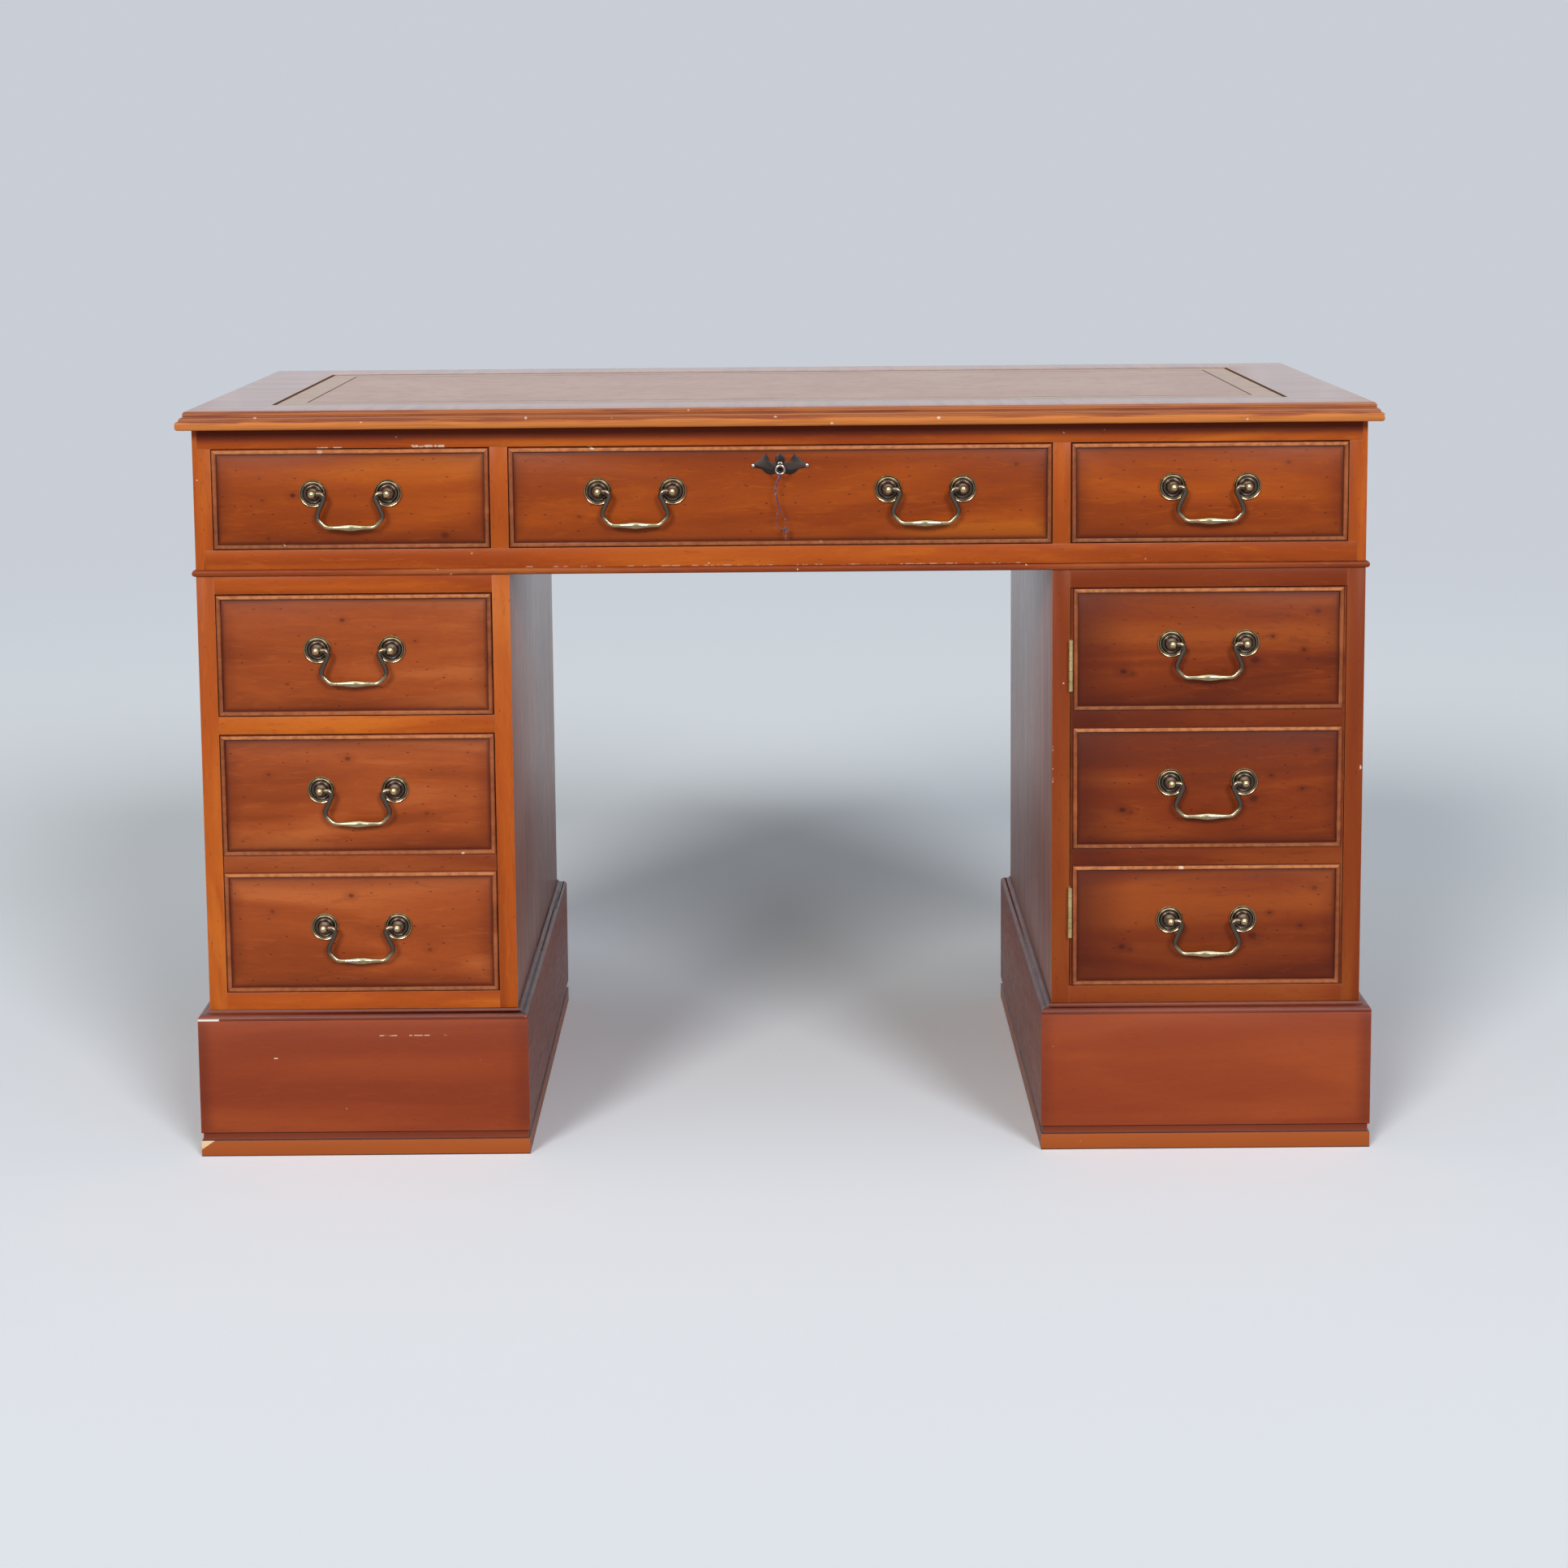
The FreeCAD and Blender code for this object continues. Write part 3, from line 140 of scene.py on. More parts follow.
class Tree:
    """The node tree of a material or the world, to which one method adds every node."""

    def __init__(self, owner: bpy.types.ID) -> None:
        """Empties the tree.

        Args:
            owner: The material or world whose tree it is.
        """
        owner.use_nodes = True
        self.tree = owner.node_tree
        self.tree.nodes.clear()

    def add(self, kind: str, *feeds, named: Optional[dict] = None) -> Socket | list[Socket]:
        """Adds one node with its settings and what goes into its sockets.

        Args:
            kind: A name in KINDS, or else the operation of a Math node.
            *feeds: For each input in its order a number, a colour's hex code, or the socket linked in.
            named: The same, by the input's own name.

        Returns:
            The socket that is read, or a list where it is not just one.
        """
        number = ("ShaderNodeMath", {"operation": kind}, (0, 1, 2), (0,))
        blender_type, settings, inputs, outputs = KINDS.get(kind, number)
        node = self.tree.nodes.new(blender_type)
        for name, value in settings.items():
            setattr(node, name, value)
        for name, value in (*zip(inputs, feeds), *(named or {}).items()):
            if isinstance(value, Socket):
                self.tree.links.new(value, node.inputs[name])
            else:
                node.inputs[name].default_value = colour(value) if isinstance(value, str) else value
        read = [node.outputs[name] for name in outputs]
        return read[0] if len(read) == 1 else read


class Canvas(Tree):
    """A finish while it is drawn: its tree, the point's place on the piece, and the colour so far."""

    def __init__(self, owner: bpy.types.ID) -> None:
        """Starts with the point's place.

        Args:
            owner: The material that is drawn.
        """
        super().__init__(owner)
        self.place = self.add("place")
        self.x, self.y, self.z = self.add("axes", self.place)
        self.tone: Socket | str = "#000000"

    def lay(self, share: Socket, over: Socket | str) -> None:
        """Lays a tone over the colour so far, as far as a share from 0 to 1 says."""
        self.tone = self.add("mix", share, self.tone, over)

    def layers(self, *layers: tuple) -> None:
        """Lays tones over the colour so far, one after another.

        Args:
            *layers: For each the tone, the value that it follows, where its ramp starts and ends, and
                the shares at both, which are 0 and 1 if left out.
        """
        for over, *ramp in layers:
            self.lay(self.add("ramp", *ramp), over)


class Grain(Enum):
    """How far a board's pattern is drawn out along X, Y and Z: the grain runs where it is drawn out."""

    LEVEL = (1.0, 1.0, 7.0)
    UPRIGHT = (9.0, 9.0, 1.0)
    OUTWARD = (16.0, 0.8, 16.0)
    ACROSS = (0.8, 16.0, 16.0)


@dataclass(frozen=True)
class PanelRow:
    """Where a front's fields lie, one above another, for the painted shade inside their cock beads."""

    middle_x: float
    half_x: float
    first_z: float
    half_z: float
    pitch: float


@dataclass(frozen=True)
class StainAndShade:
    """A stretch of another tone between limits along X and Z: a real stain, mark or scuff, or painted shade
    such as a contact shadow, the shadow of an overhang or the shade in a groove.
    """

    x: tuple[float, float]
    z: tuple[float, float]
    tone: str
    share: float
    fade: float = 0.2 * MM
    broken: bool = False

    def draw(self, canvas: Canvas, ragged: Socket) -> None:
        """Lays the band of tone over the colour so far.

        Args:
            canvas: The finish that is drawn.
            ragged: Noise that breaks a scuff up.
        """
        add, fade = canvas.add, self.fade
        borders = [add("MULTIPLY", add("ramp", place, low - fade, low + fade),
                       add("ramp", place, high + fade, high - fade))
                   for place, (low, high) in ((canvas.x, self.x), (canvas.z, self.z))]
        inside = add("MULTIPLY", *borders)
        if self.broken:
            inside = add("MULTIPLY", inside, add("ramp", ragged, 0.5, 0.56))
        canvas.lay(add("MULTIPLY", inside, self.share), self.tone)


@dataclass(frozen=True)
class Finish:
    """What every finish has: a name, and the way that its material is made."""

    name: str

    def build(self) -> bpy.types.Material:
        """Makes the material from the drawn colour and what else the finish feeds to its shader.

        Returns:
            The material.
        """
        material = bpy.data.materials.new(self.name)
        canvas = Canvas(material)
        inputs = self.draw(canvas)
        canvas.add("surface", canvas.add("shader", named={"Base Color": canvas.tone, **inputs}))
        return material

    def draw(self, canvas: Canvas) -> dict:
        """Draws the finish.

        Args:
            canvas: The empty canvas, which gets the colour.

        Returns:
            What goes into the shader's other sockets, by their names.
        """
        raise NotImplementedError


@dataclass(frozen=True)
class Veneer(Finish):
    """Sliced yew veneer, stained and satin lacquered: soft figure, dark pips and knots, pale edges that are
    partly rubbed and partly painted highlight, and painted shade inside the cock beads.
    """

    dark: str
    body: str
    light: str
    grain: Grain
    offset: float = 0.0
    pips: float = 0.8
    contrast: float = 1.0
    # Painted shade along the fields' borders inside the cock beads, and how strong it is
    border: str = "#4A1A10"
    border_share: float = 0.75
    panels: Optional[PanelRow] = None
    knots: tuple = ()
    chips: float = 0.0
    worn_tone: str = "#C98552"
    worn_share: float = 0.55
    stains: tuple = ()
    corner_chip: Optional[tuple[float, float]] = None
    specular: float = 0.2
    coat: float = 0.0

    def draw(self, canvas: Canvas) -> dict:
        """Draws the veneer; the attribute named edge says where it is paler, partly rubbed and partly painted
        highlight.

        Args:
            canvas: The empty canvas, which gets the colour.

        Returns:
            What goes into the shader's other sockets, by their names.
        """
        add, place = canvas.add, canvas.place
        face = add("vector", add("ADD", canvas.x, canvas.y), canvas.z)
        away = (self.offset, self.offset * 1.3, self.offset * 0.9)
        drawn = add("drawn", place, self.grain.value, away)
        # Cloudy figure some 60 mm across, growth lines of 5 mm, and fibres under a millimetre
        cloud = add("noise", drawn, 2.4, 2.5, 0.5, 1.1)
        lines = add("noise", drawn, 22.0, 4.0, 0.62, 1.3)
        fibres = add("noise", drawn, 110.0, 2.0)
        ragged = add("noise", place, 160.0, 3.0)
        some = self.contrast
        canvas.tone = self.body
        canvas.layers((self.dark, cloud, 0.32, 0.56, 0.62 * some, 0.0),
                      (self.light, cloud, 0.5, 0.72, 0.0, 0.8 * some),
                      (self.dark, lines, 0.53, 0.7, 0.0, 0.3 * some),
                      (self.light, lines, 0.34, 0.46, 0.22 * some, 0.0),
                      (self.dark, fibres, 0.48, 0.76, 0.0, 0.16))
        # Pips are short dark dashes, 1 to 3 mm long, some 20 mm apart
        dashes = (2.6, 1.0, 1.0) if self.grain is Grain.UPRIGHT else (1.0, 2.6, 1.0)
        shifted = add("drawn", face, dashes, (self.offset * 3, self.offset, 0.0))
        near, code = add("flat cells", shifted, 42.0)
        chance = add("ramp", add("channels", code)[1], 0.62, 0.85, 0.0, self.pips)
        canvas.lay(add("MULTIPLY", add("ramp", near, 0.085, 0.03), chance), PIP)
        if self.panels:
            self.draw_fields(canvas, ragged)
        for stain in self.stains:
            stain.draw(canvas, ragged)
        # Eased edges get a paler tone: partly rubbed lacquer, partly painted highlight
        on_edge = add("edge")
        share = add("ramp", ragged, 0.36, 0.6, 0.6 * self.worn_share, self.worn_share)
        canvas.lay(add("MULTIPLY", on_edge, share), self.worn_tone)
        rough = add("ramp", lines, 0.3, 0.75, 0.3, 0.41)
        if self.chips:
            spot = self.chip(add, face, on_edge)
            canvas.lay(spot, BARE_WOOD)
            rough = add("ADD", rough, add("MULTIPLY", spot, 0.4))
        if self.corner_chip:
            self.draw_corner(canvas, ragged)
        return {"Roughness": rough, "Normal": add("bump", fibres, 0.12, 0.2 * MM),
                "Specular IOR Level": self.specular, "Coat Weight": self.coat, "Coat Roughness": 0.24}

    def draw_fields(self, canvas: Canvas, ragged: Socket) -> None:
        """Draws the knots in the fields, and the painted shade along the fields' borders inside their cock
        beads.

        Args:
            canvas: The finish that is drawn.
            ragged: Noise that breaks the knots up.
        """
        add, row = canvas.add, self.panels
        shifted = add("SUBTRACT", canvas.z, row.first_z - row.pitch / 2)
        height = add("SUBTRACT", add("FLOORED_MODULO", shifted, row.pitch), row.pitch / 2)
        across = add("SUBTRACT", canvas.x, row.middle_x)
        # A knot has a dark heart, a paler ring and a soft brown halo
        blur = add("MULTIPLY", add("SUBTRACT", ragged, 0.5), 0.5)
        for x, z, radius, depth in self.knots:
            east = add("DIVIDE", add("SUBTRACT", across, x * MM), radius * 1.35 * MM)
            north = add("DIVIDE", add("SUBTRACT", height, z * MM), radius * MM)
            out = add("ADD", add("length", add("vector", east, north)), blur)
            canvas.layers((self.dark, out, 3.6, 0.8, 0.0, 0.42 * depth),
                          (KNOT_HEART, out, 1.15, 0.4, 0.0, 0.8 * depth))
        edge = add("MINIMUM", add("SUBTRACT", row.half_x, add("ABSOLUTE", across)),
                   add("SUBTRACT", row.half_z, add("ABSOLUTE", height)))
        # The false rails between the fields get only a fifth of the painted border shade
        field = add("MULTIPLY", add("ramp", edge, -0.5 * MM, 0.5 * MM, 0.2, 1.0),
                    add("ramp", canvas.y, -277 * MM, -281 * MM))
        # Painted shade fading inward from the cock beads: a wide soft band and a narrow darker one
        for start, end, share in ((3.5, 26, self.border_share * 0.5), (4.5, 10, self.border_share)):
            shade = add("ramp", edge, start * MM, end * MM, share, 0.0)
            canvas.lay(add("MULTIPLY", field, shade), self.border)

    def chip(self, add: Adder, face: Socket, on_edge: Socket) -> Socket:
        """Where the lacquer has been knocked off, mostly along the edges.

        Args:
            add: What adds a node.
            face: The point on the face, as a vector.
            on_edge: How much of an edge the point is.

        Returns:
            How much of a pale chip the point is.
        """
        near, code = add("flat cells", face, 70.0)
        reach = add("ADD", near, add("MULTIPLY", add("noise", face, 900.0, 2.0), 0.12))
        chance = add("ramp", add("channels", code)[2], 1 - self.chips, 1.02 - self.chips, 0.0, 0.85)
        return add("MULTIPLY", add("LESS_THAN", reach, add("ramp", on_edge, 0.0, 0.8, 0.11, 0.24)), chance)

    def draw_corner(self, canvas: Canvas, ragged: Socket) -> None:
        """Draws the bare corner where a piece of the veneer has broken away.

        Args:
            canvas: The finish that is drawn.
            ragged: Noise that breaks its border up.
        """
        add, (corner_x, run) = canvas.add, self.corner_chip
        along = add("DIVIDE", add("SUBTRACT", canvas.x, corner_x), run)
        height = add("DIVIDE", add("SUBTRACT", 0.0165, canvas.z), run * 0.7)
        slant = add("ADD", add("ADD", along, height), add("MULTIPLY", ragged, 0.3))
        canvas.lay(add("MULTIPLY", add("ramp", slant, 1.2, 1.1), add("LESS_THAN", canvas.z, 0.0168)),
                   "#E3C09A")


@dataclass(frozen=True)
class TopVeneer(Finish):
    """Yew border of the writing top, cross-banded: it mirrors the pale room at a low angle."""

    dark: str
    body: str
    light: str
    band_half_x: float
    top_z: float
    edge_dark: str
    edge_light: str

    def draw(self, canvas: Canvas) -> dict:
        """Draws the border, and the darker stepped edge below it.

        Args:
            canvas: The empty canvas, which gets the colour.

        Returns:
            What goes into the shader's other sockets, by their names.
        """
        add, place = canvas.add, canvas.place
        # The moulded edge has its grain along it, with painted shade in its steps, darker towards its top, a
        # painted highlight on the lower rounded nose, which faces away from the lamps, and pale eased edges
        # that are partly rubbed and partly painted highlight
        grain = add("noise", add("drawn", place, (1.0, 1.0, 30.0)), 12.0, 4.0, 0.5, 0.6)
        depth = add("SUBTRACT", self.top_z, canvas.z)
        canvas.tone = self.edge_light
        canvas.layers((self.edge_dark, grain, 0.4, 0.65),
                      ("#5E2413", add("steps", place, 34.0), 0.45, 0.9, 0.0, 0.4),
                      ("#6B2A15", depth, 11.5 * MM, 9.5 * MM, 0.0, 0.5),
                      ("#DC8A42", depth, 11.5 * MM, 13 * MM, 0.0, 0.5))
        canvas.lay(add("MULTIPLY", add("edge"), 0.5), "#D08B57")
        near, code = add("cells", place, 55.0)
        chance = add("ramp", add("channels", code)[0], 0.5, 0.52)
        chip = add("MULTIPLY", add("ramp", near, 0.12, 0.07), chance)
        canvas.lay(add("MULTIPLY", chip, 0.8), "#E8CDB8")
        edge, canvas.tone = canvas.tone, self.dark
        # The border's grain runs outward, so it turns at the ends
        ends = add("ramp", add("ABSOLUTE", canvas.x), self.band_half_x - MM / 2, self.band_half_x + MM / 2)
        on_front, on_ends = (add("drawn", place, way) for way in ((16.0, 1.0, 16.0), (1.0, 16.0, 16.0)))
        way = add("mix", ends, on_front, on_ends)
        fibres = add("noise", way, 60.0, 2.0)
        below = (depth, 0.1 * MM, 0.4 * MM)
        canvas.layers((self.body, add("noise", way, 3.0, 4.0, 0.5, 0.8), 0.35, 0.6),
                      (self.light, fibres, 0.5, 0.75, 0.0, 0.3), (edge, *below))
        return {"Normal": add("bump", fibres, 0.1, 0.2 * MM), "Roughness": 0.3,
                "Coat Weight": add("ramp", *below, 1.0, 0.15), "Coat Roughness": 0.2,
                "Specular IOR Level": add("ramp", *below, 0.5, 0.25)}


@dataclass(frozen=True)
class Hide(Finish):
    """Waxed skiver leather: mottled tan, finely pebbled, with an aged gilt band and a tooled line."""

    tan: str
    faded: str
    stain: str
    gilt: str
    line: str
    half_x: float
    half_y: float
    margin: float

    def draw(self, canvas: Canvas) -> dict:
        """Draws the leather.

        Args:
            canvas: The empty canvas, which gets the colour.

        Returns:
            What goes into the shader's other sockets, by their names.
        """
        add, place = canvas.add, canvas.place
        from_end = add("SUBTRACT", self.half_x, add("ABSOLUTE", canvas.x))
        from_long = add("SUBTRACT", self.half_y, add("ABSOLUTE", canvas.y))
        mottle = add("noise", place, 55.0, 4.0, 0.65)
        # The pebble of goat skiver is about 1 mm
        pebble = add("cell walls", place, 900.0)
        canvas.tone = self.tan
        canvas.layers((self.faded, add("noise", place, 9.0, 5.0, 0.6, 0.5), 0.35, 0.65),
                      (self.stain, mottle, 0.52, 0.72, 0.0, 0.5), (self.stain, pebble, 0.06, 0.0, 0.0, 0.3))
        inner = (self.margin, self.margin - 1.5 * MM)
        band = add("MAXIMUM", add("ramp", from_end, *inner), add("ramp", from_long, *inner, 0.0, 0.35))
        canvas.lay(add("MULTIPLY", band, add("ramp", mottle, 0.3, 0.6, 0.7, 0.4)), self.gilt)
        canvas.layers(("#A07B3C", from_long, 12 * MM, 10 * MM, 0.0, 0.75))
        edge = add("MINIMUM", from_end, from_long)
        tooled = add("MULTIPLY", add("COMPARE", edge, self.margin + 0.8 * MM, 1.1 * MM), 0.8)
        canvas.lay(tooled, self.line)
        canvas.layers((self.line, from_end, 5.0 * MM, 3.5 * MM, 0.0, 0.75),
                      (self.line, from_long, 4.2 * MM, 3.4 * MM, 0.0, 0.75))
        # The sunk lines lie out of the gloss
        sunk = add("MINIMUM", add("SUBTRACT", from_end, 1.2 * MM), from_long)
        gloss = add("MULTIPLY", add("ramp", sunk, 2.8 * MM, 4.3 * MM), add("SUBTRACT", 1.0, tooled))
        return {"Normal": add("bump", add("ramp", pebble, 0.0, 0.12), 0.35, 0.12 * MM),
                "Roughness": add("ramp", mottle, 0.3, 0.7, 0.36, 0.46), "Coat Roughness": 0.3,
                "Coat Weight": add("MULTIPLY", gloss, 0.7), "Specular IOR Level": add("MULTIPLY", gloss, 0.5)}


@dataclass(frozen=True)
class AgedBrass(Finish):
    """Cast brass under a brown-black patina, rubbed bright where hands and rags reach it."""

    patina: str
    bright: str
    patina_roughness: float = 0.26
    bright_roughness: float = 0.2
    rubbed: float = 1.0

    def draw(self, canvas: Canvas) -> dict:
        """Draws the metal; the attribute named polish says where it is rubbed.

        Args:
            canvas: The empty canvas, which gets the colour.

        Returns:
            What goes into the shader's other sockets, by their names.
        """
        add, place = canvas.add, canvas.place
        blotch = add("noise", place, 260.0, 4.0, 0.6)
        reach = add("MULTIPLY", add("polish"), add("ramp", blotch, 0.32, 0.6, 0.7, self.rubbed))
        canvas.tone = self.patina
        canvas.lay(reach, self.bright)
        canvas.layers((self.patina, blotch, 0.55, 0.75, 0.0, 0.35))
        return {"Metallic": 1.0, "Normal": add("bump", add("noise", place, 1400.0, 2.0), 0.08, 0.1 * MM),
                "Roughness": add("ramp", reach, 0.0, 1.0, self.patina_roughness, self.bright_roughness)}


@dataclass(frozen=True)
class BrushedMetal(Finish):
    """Rolled metal with fine brush lines along it, as on lock cases and butt hinges."""

    base: str
    dull: str

    def draw(self, canvas: Canvas) -> dict:
        """Draws the metal.

        Args:
            canvas: The empty canvas, which gets the colour.

        Returns:
            What goes into the shader's other sockets, by their names.
        """
        add, place = canvas.add, canvas.place
        lines = add("noise", add("drawn", place, (1.0, 1.0, 0.05)), 2600.0)
        canvas.tone = self.base
        canvas.layers((self.dull, add("noise", place, 90.0, 4.0), 0.4, 0.7, 0.0, 0.7))
        return {"Metallic": 1.0, "Normal": add("bump", lines, 0.1, 0.05 * MM),
                "Roughness": add("ramp", lines, 0.3, 0.7, 0.29, 0.44)}


@dataclass(frozen=True)
class PlainTimber(Finish):
    """Unstained softwood and ply inside the desk: pale, matt, with straight growth lines."""

    early: str
    late: str

    def draw(self, canvas: Canvas) -> dict:
        """Draws the timber.

        Args:
            canvas: The empty canvas, which gets the colour.

        Returns:
            What goes into the shader's other sockets, by their names.
        """
        add = canvas.add
        # Boards that face the front, such as a drawer's back, have their grain across the desk
        ahead = add("ramp", add("ABSOLUTE", add("axes", add("facing"))[1]), 0.45, 0.55)
        ways = (add("drawn", canvas.place, way.value) for way in (Grain.OUTWARD, Grain.ACROSS))
        drawn = add("mix", ahead, *ways)
        fibres = add("noise", drawn, 90.0, 2.0)
        canvas.tone = self.early
        canvas.layers((self.late, add("noise", drawn, 12.0, 3.0, 0.5, 0.2), 0.42, 0.68),
                      (self.late, fibres, 0.5, 0.8, 0.0, 0.35))
        return {"Roughness": 0.62, "Normal": add("bump", fibres, 0.2, 0.2 * MM)}


@dataclass(frozen=True)
class CottonYarn(Finish):
    """Two-ply cotton string, dyed mauve and rubbed pale: fuzzy, with its yarns lying aslant."""

    dyed: str
    rubbed: str
    shade: str

    def draw(self, canvas: Canvas) -> dict:
        """Draws the yarn.

        Args:
            canvas: The empty canvas, which gets the colour.

        Returns:
            What goes into the shader's other sockets, by their names.
        """
        add, place = canvas.add, canvas.place
        # Yarn fibres are 0.2 mm, drawn as coarse as the picture can hold
        yarn = add("noise", place, 2200.0, 3.0)
        canvas.tone = self.shade
        canvas.layers((self.dyed, yarn, 0.4, 0.65),
                      (self.rubbed, add("noise", place, 420.0, 3.0), 0.52, 0.66, 0.0, 0.8))
        return {"Roughness": 0.9, "Sheen Weight": 0.3, "Normal": add("bump", yarn, 0.5, 0.1 * MM)}


def only(piece: bpy.types.Object) -> None:
    """Makes a piece the one selected and active object.

    Args:
        piece: The piece.
    """
    bpy.ops.object.select_all(action="DESELECT")
    piece.select_set(True)
    bpy.context.view_layer.objects.active = piece


@contextmanager
def editing(piece: bpy.types.Object) -> Iterator[None]:
    """Opens a piece in edit mode with all of it selected, and closes it again.

    Args:
        piece: The piece that is edited.

    Yields:
        Nothing, while the piece is open.
    """
    only(piece)
    bpy.ops.object.mode_set(mode="EDIT")
    bpy.ops.mesh.select_all(action="SELECT")
    yield
    bpy.ops.object.mode_set(mode="OBJECT")


def settle_place() -> None:
    """Puts the place, turn and scale of the active object into its mesh."""
    bpy.ops.object.transform_apply(location=True, rotation=True, scale=True)


def linked(name: str, data: bpy.types.ID) -> bpy.types.Object:
    """Adds an object to the scene.

    Args:
        name: The object's name.
        data: Its mesh, curve, camera or light.

    Returns:
        The new object.
    """
    new = bpy.data.objects.new(name, data)
    bpy.context.scene.collection.objects.link(new)
    return new


def begin(name: str, operator: Callable, **settings) -> bpy.types.Object:
    """Adds a primitive as the start of a piece.

    Args:
        name: The piece's name.
        operator: The operator that adds the primitive.
        **settings: The operator's own settings.

    Returns:
        The new object.
    """
    bpy.ops.object.select_all(action="DESELECT")
    operator(**settings)
    piece = bpy.context.active_object
    piece.name = name
    piece.data.name = name
    return piece


def pick(piece: bpy.types.Object, kind: str, test: Callable) -> None:
    """Selects the faces, edges or vertices of a piece in edit mode that pass a test, and no others.

    Args:
        piece: The piece that is open in edit mode.
        kind: One of "faces", "edges" and "verts".
        test: What says for one of them whether it is wanted.
    """
    bpy.ops.mesh.select_mode(type={"faces": "FACE", "edges": "EDGE", "verts": "VERT"}[kind])
    bpy.ops.mesh.select_all(action="DESELECT")
    mesh = bmesh.from_edit_mesh(piece.data)
    for item in getattr(mesh, kind):
        if test(item):
            item.select_set(True)
    bmesh.update_edit_mesh(piece.data)


def lip(piece: bpy.types.Object, material: bpy.types.Material) -> None:
    """Gives the faces that look forward, out of the desk's front, a finish of their own.

    Args:
        piece: The piece, already settled in its main finish.
        material: The finish of its front edges.
    """
    piece.data.materials.append(material)
    for face in piece.data.polygons:
        if face.normal.y < -0.5:
            face.material_index = 1


def settle(piece: bpy.types.Object, material: bpy.types.Material, body: str, slot: str,
           nodes: Sequence[str] = (), smooth_deg: float = 35.0) -> bpy.types.Object:
    """Ends a piece: its place goes into its mesh, it gets its finish and rides on its body, and the CAD nodes
    that it stands for are hidden.

    Args:
        piece: The piece, modelled in the row frame.
        material: Its finish.
        body: The CAD body that it moves with.
        slot: Not used.
        nodes: The CAD nodes that it stands for.
        smooth_deg: Edges flatter than this are shaded smooth.

    Returns:
        The piece.
    """
    only(piece)
    settle_place()
    bpy.ops.object.shade_smooth_by_angle(angle=math.radians(smooth_deg))
    piece.data.materials.clear()
    piece.data.materials.append(material)
    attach(piece, body)
    if nodes:
        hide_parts(*nodes)
    log.info("%s rides on %s, %d faces", piece.name, body, len(piece.data.polygons))
    return piece


def joined(pieces: Sequence[bpy.types.Object], name: str) -> bpy.types.Object:
    """Joins several pieces into one.

    Args:
        pieces: The pieces; the first one takes the rest in.
        name: The joined piece's name.

    Returns:
        The joined piece.
    """
    only(pieces[0])
    for piece in pieces[1:]:
        piece.select_set(True)
    if len(pieces) > 1:
        bpy.ops.object.join()
    pieces[0].name = name
    pieces[0].data.name = name
    return pieces[0]


def copy_of(piece: bpy.types.Object, move: Matrix) -> bpy.types.Object:
    """Copies a piece with its own mesh.

    Args:
        piece: The piece that is copied.
        move: Where the copy goes, from where the first one is.

    Returns:
        The copy.
    """
    twin = linked(piece.name, piece.data.copy())
    twin.data.transform(move)
    return twin


def weld_solids(piece: bpy.types.Object) -> None:
    """Welds the points of each solid of a piece, and leaves solids that only touch apart.

    Args:
        piece: The piece, whose faces are joined by the place of their points alone.
    """
    shape = bmesh.new()
    shape.from_mesh(piece.data)
    bmesh.ops.remove_doubles(shape, verts=shape.verts, dist=WELD)
    # The faces are walked in the mesh's own order, so that each run gives the same mesh
    seen, solids = set(), []
    for first in shape.faces:
        if first in seen:
            continue
        seen.add(first)
        solid = [first]
        for face in solid:
            for edge in face.edges:
                # Two faces at an edge belong to one solid; four are where two solids touch
                if len(edge.link_faces) == 2:
                    fresh = [other for other in edge.link_faces if other not in seen]
                    seen.update(fresh)
                    solid.extend(fresh)
        solids.append(solid)
    for solid in solids[1:]:
        bmesh.ops.split(shape, geom=solid, use_only_faces=True)
    shape.to_mesh(piece.data)
    shape.free()


def eased_copy(node: str, name: str, width: float, least: float = 12 * MM,
               apart: bool = False) -> bpy.types.Object:
    """Copies a CAD board and eases its long sharp edges, as sandpaper does.

    Args:
        node: The CAD node that is copied.
        name: The new piece's name.
        width: How wide the eased edges are.
        least: Edges shorter than this stay sharp.
        apart: Whether solids that touch keep their own points and eased edges.

    Returns:
        The new piece.
    """
    piece = linked(name, bpy.data.objects[node].data.copy())
    piece.data.name = name
    if apart:
        weld_solids(piece)
    with editing(piece):
        bpy.ops.mesh.customdata_custom_splitnormals_clear()
        if not apart:
            bpy.ops.mesh.remove_doubles(threshold=WELD)
        bpy.ops.mesh.dissolve_limited(angle_limit=math.radians(FLAT_DEG))
        pick(piece, "edges", lambda e: len(e.link_faces) == 2 and e.calc_length() > least
             and e.calc_face_angle() > math.radians(SHARP_DEG))
        bpy.ops.mesh.bevel(offset=width, segments=2, affect="EDGES", clamp_overlap=True)
    mark_edges(piece, width)
    return piece


def mark_edges(piece: bpy.types.Object, width: float) -> None:
    """Writes into the piece's edge and polish attributes which points lie on an eased edge.

    Args:
        piece: The piece.
        width: How wide its eased edges are.
    """
    shape = bmesh.new()
    shape.from_mesh(piece.data)
    on_eased_edge = [1.0 if vertex.link_faces and all(
        strip.calc_area() / max(edge.calc_length() for edge in strip.edges) < width * STRIP_SHARE
        for strip in vertex.link_faces) else 0.0 for vertex in shape.verts]
    shape.free()
    for name in ("edge", "polish"):
        piece.data.attributes.new(name, "FLOAT", "POINT").data.foreach_set("value", on_eased_edge)


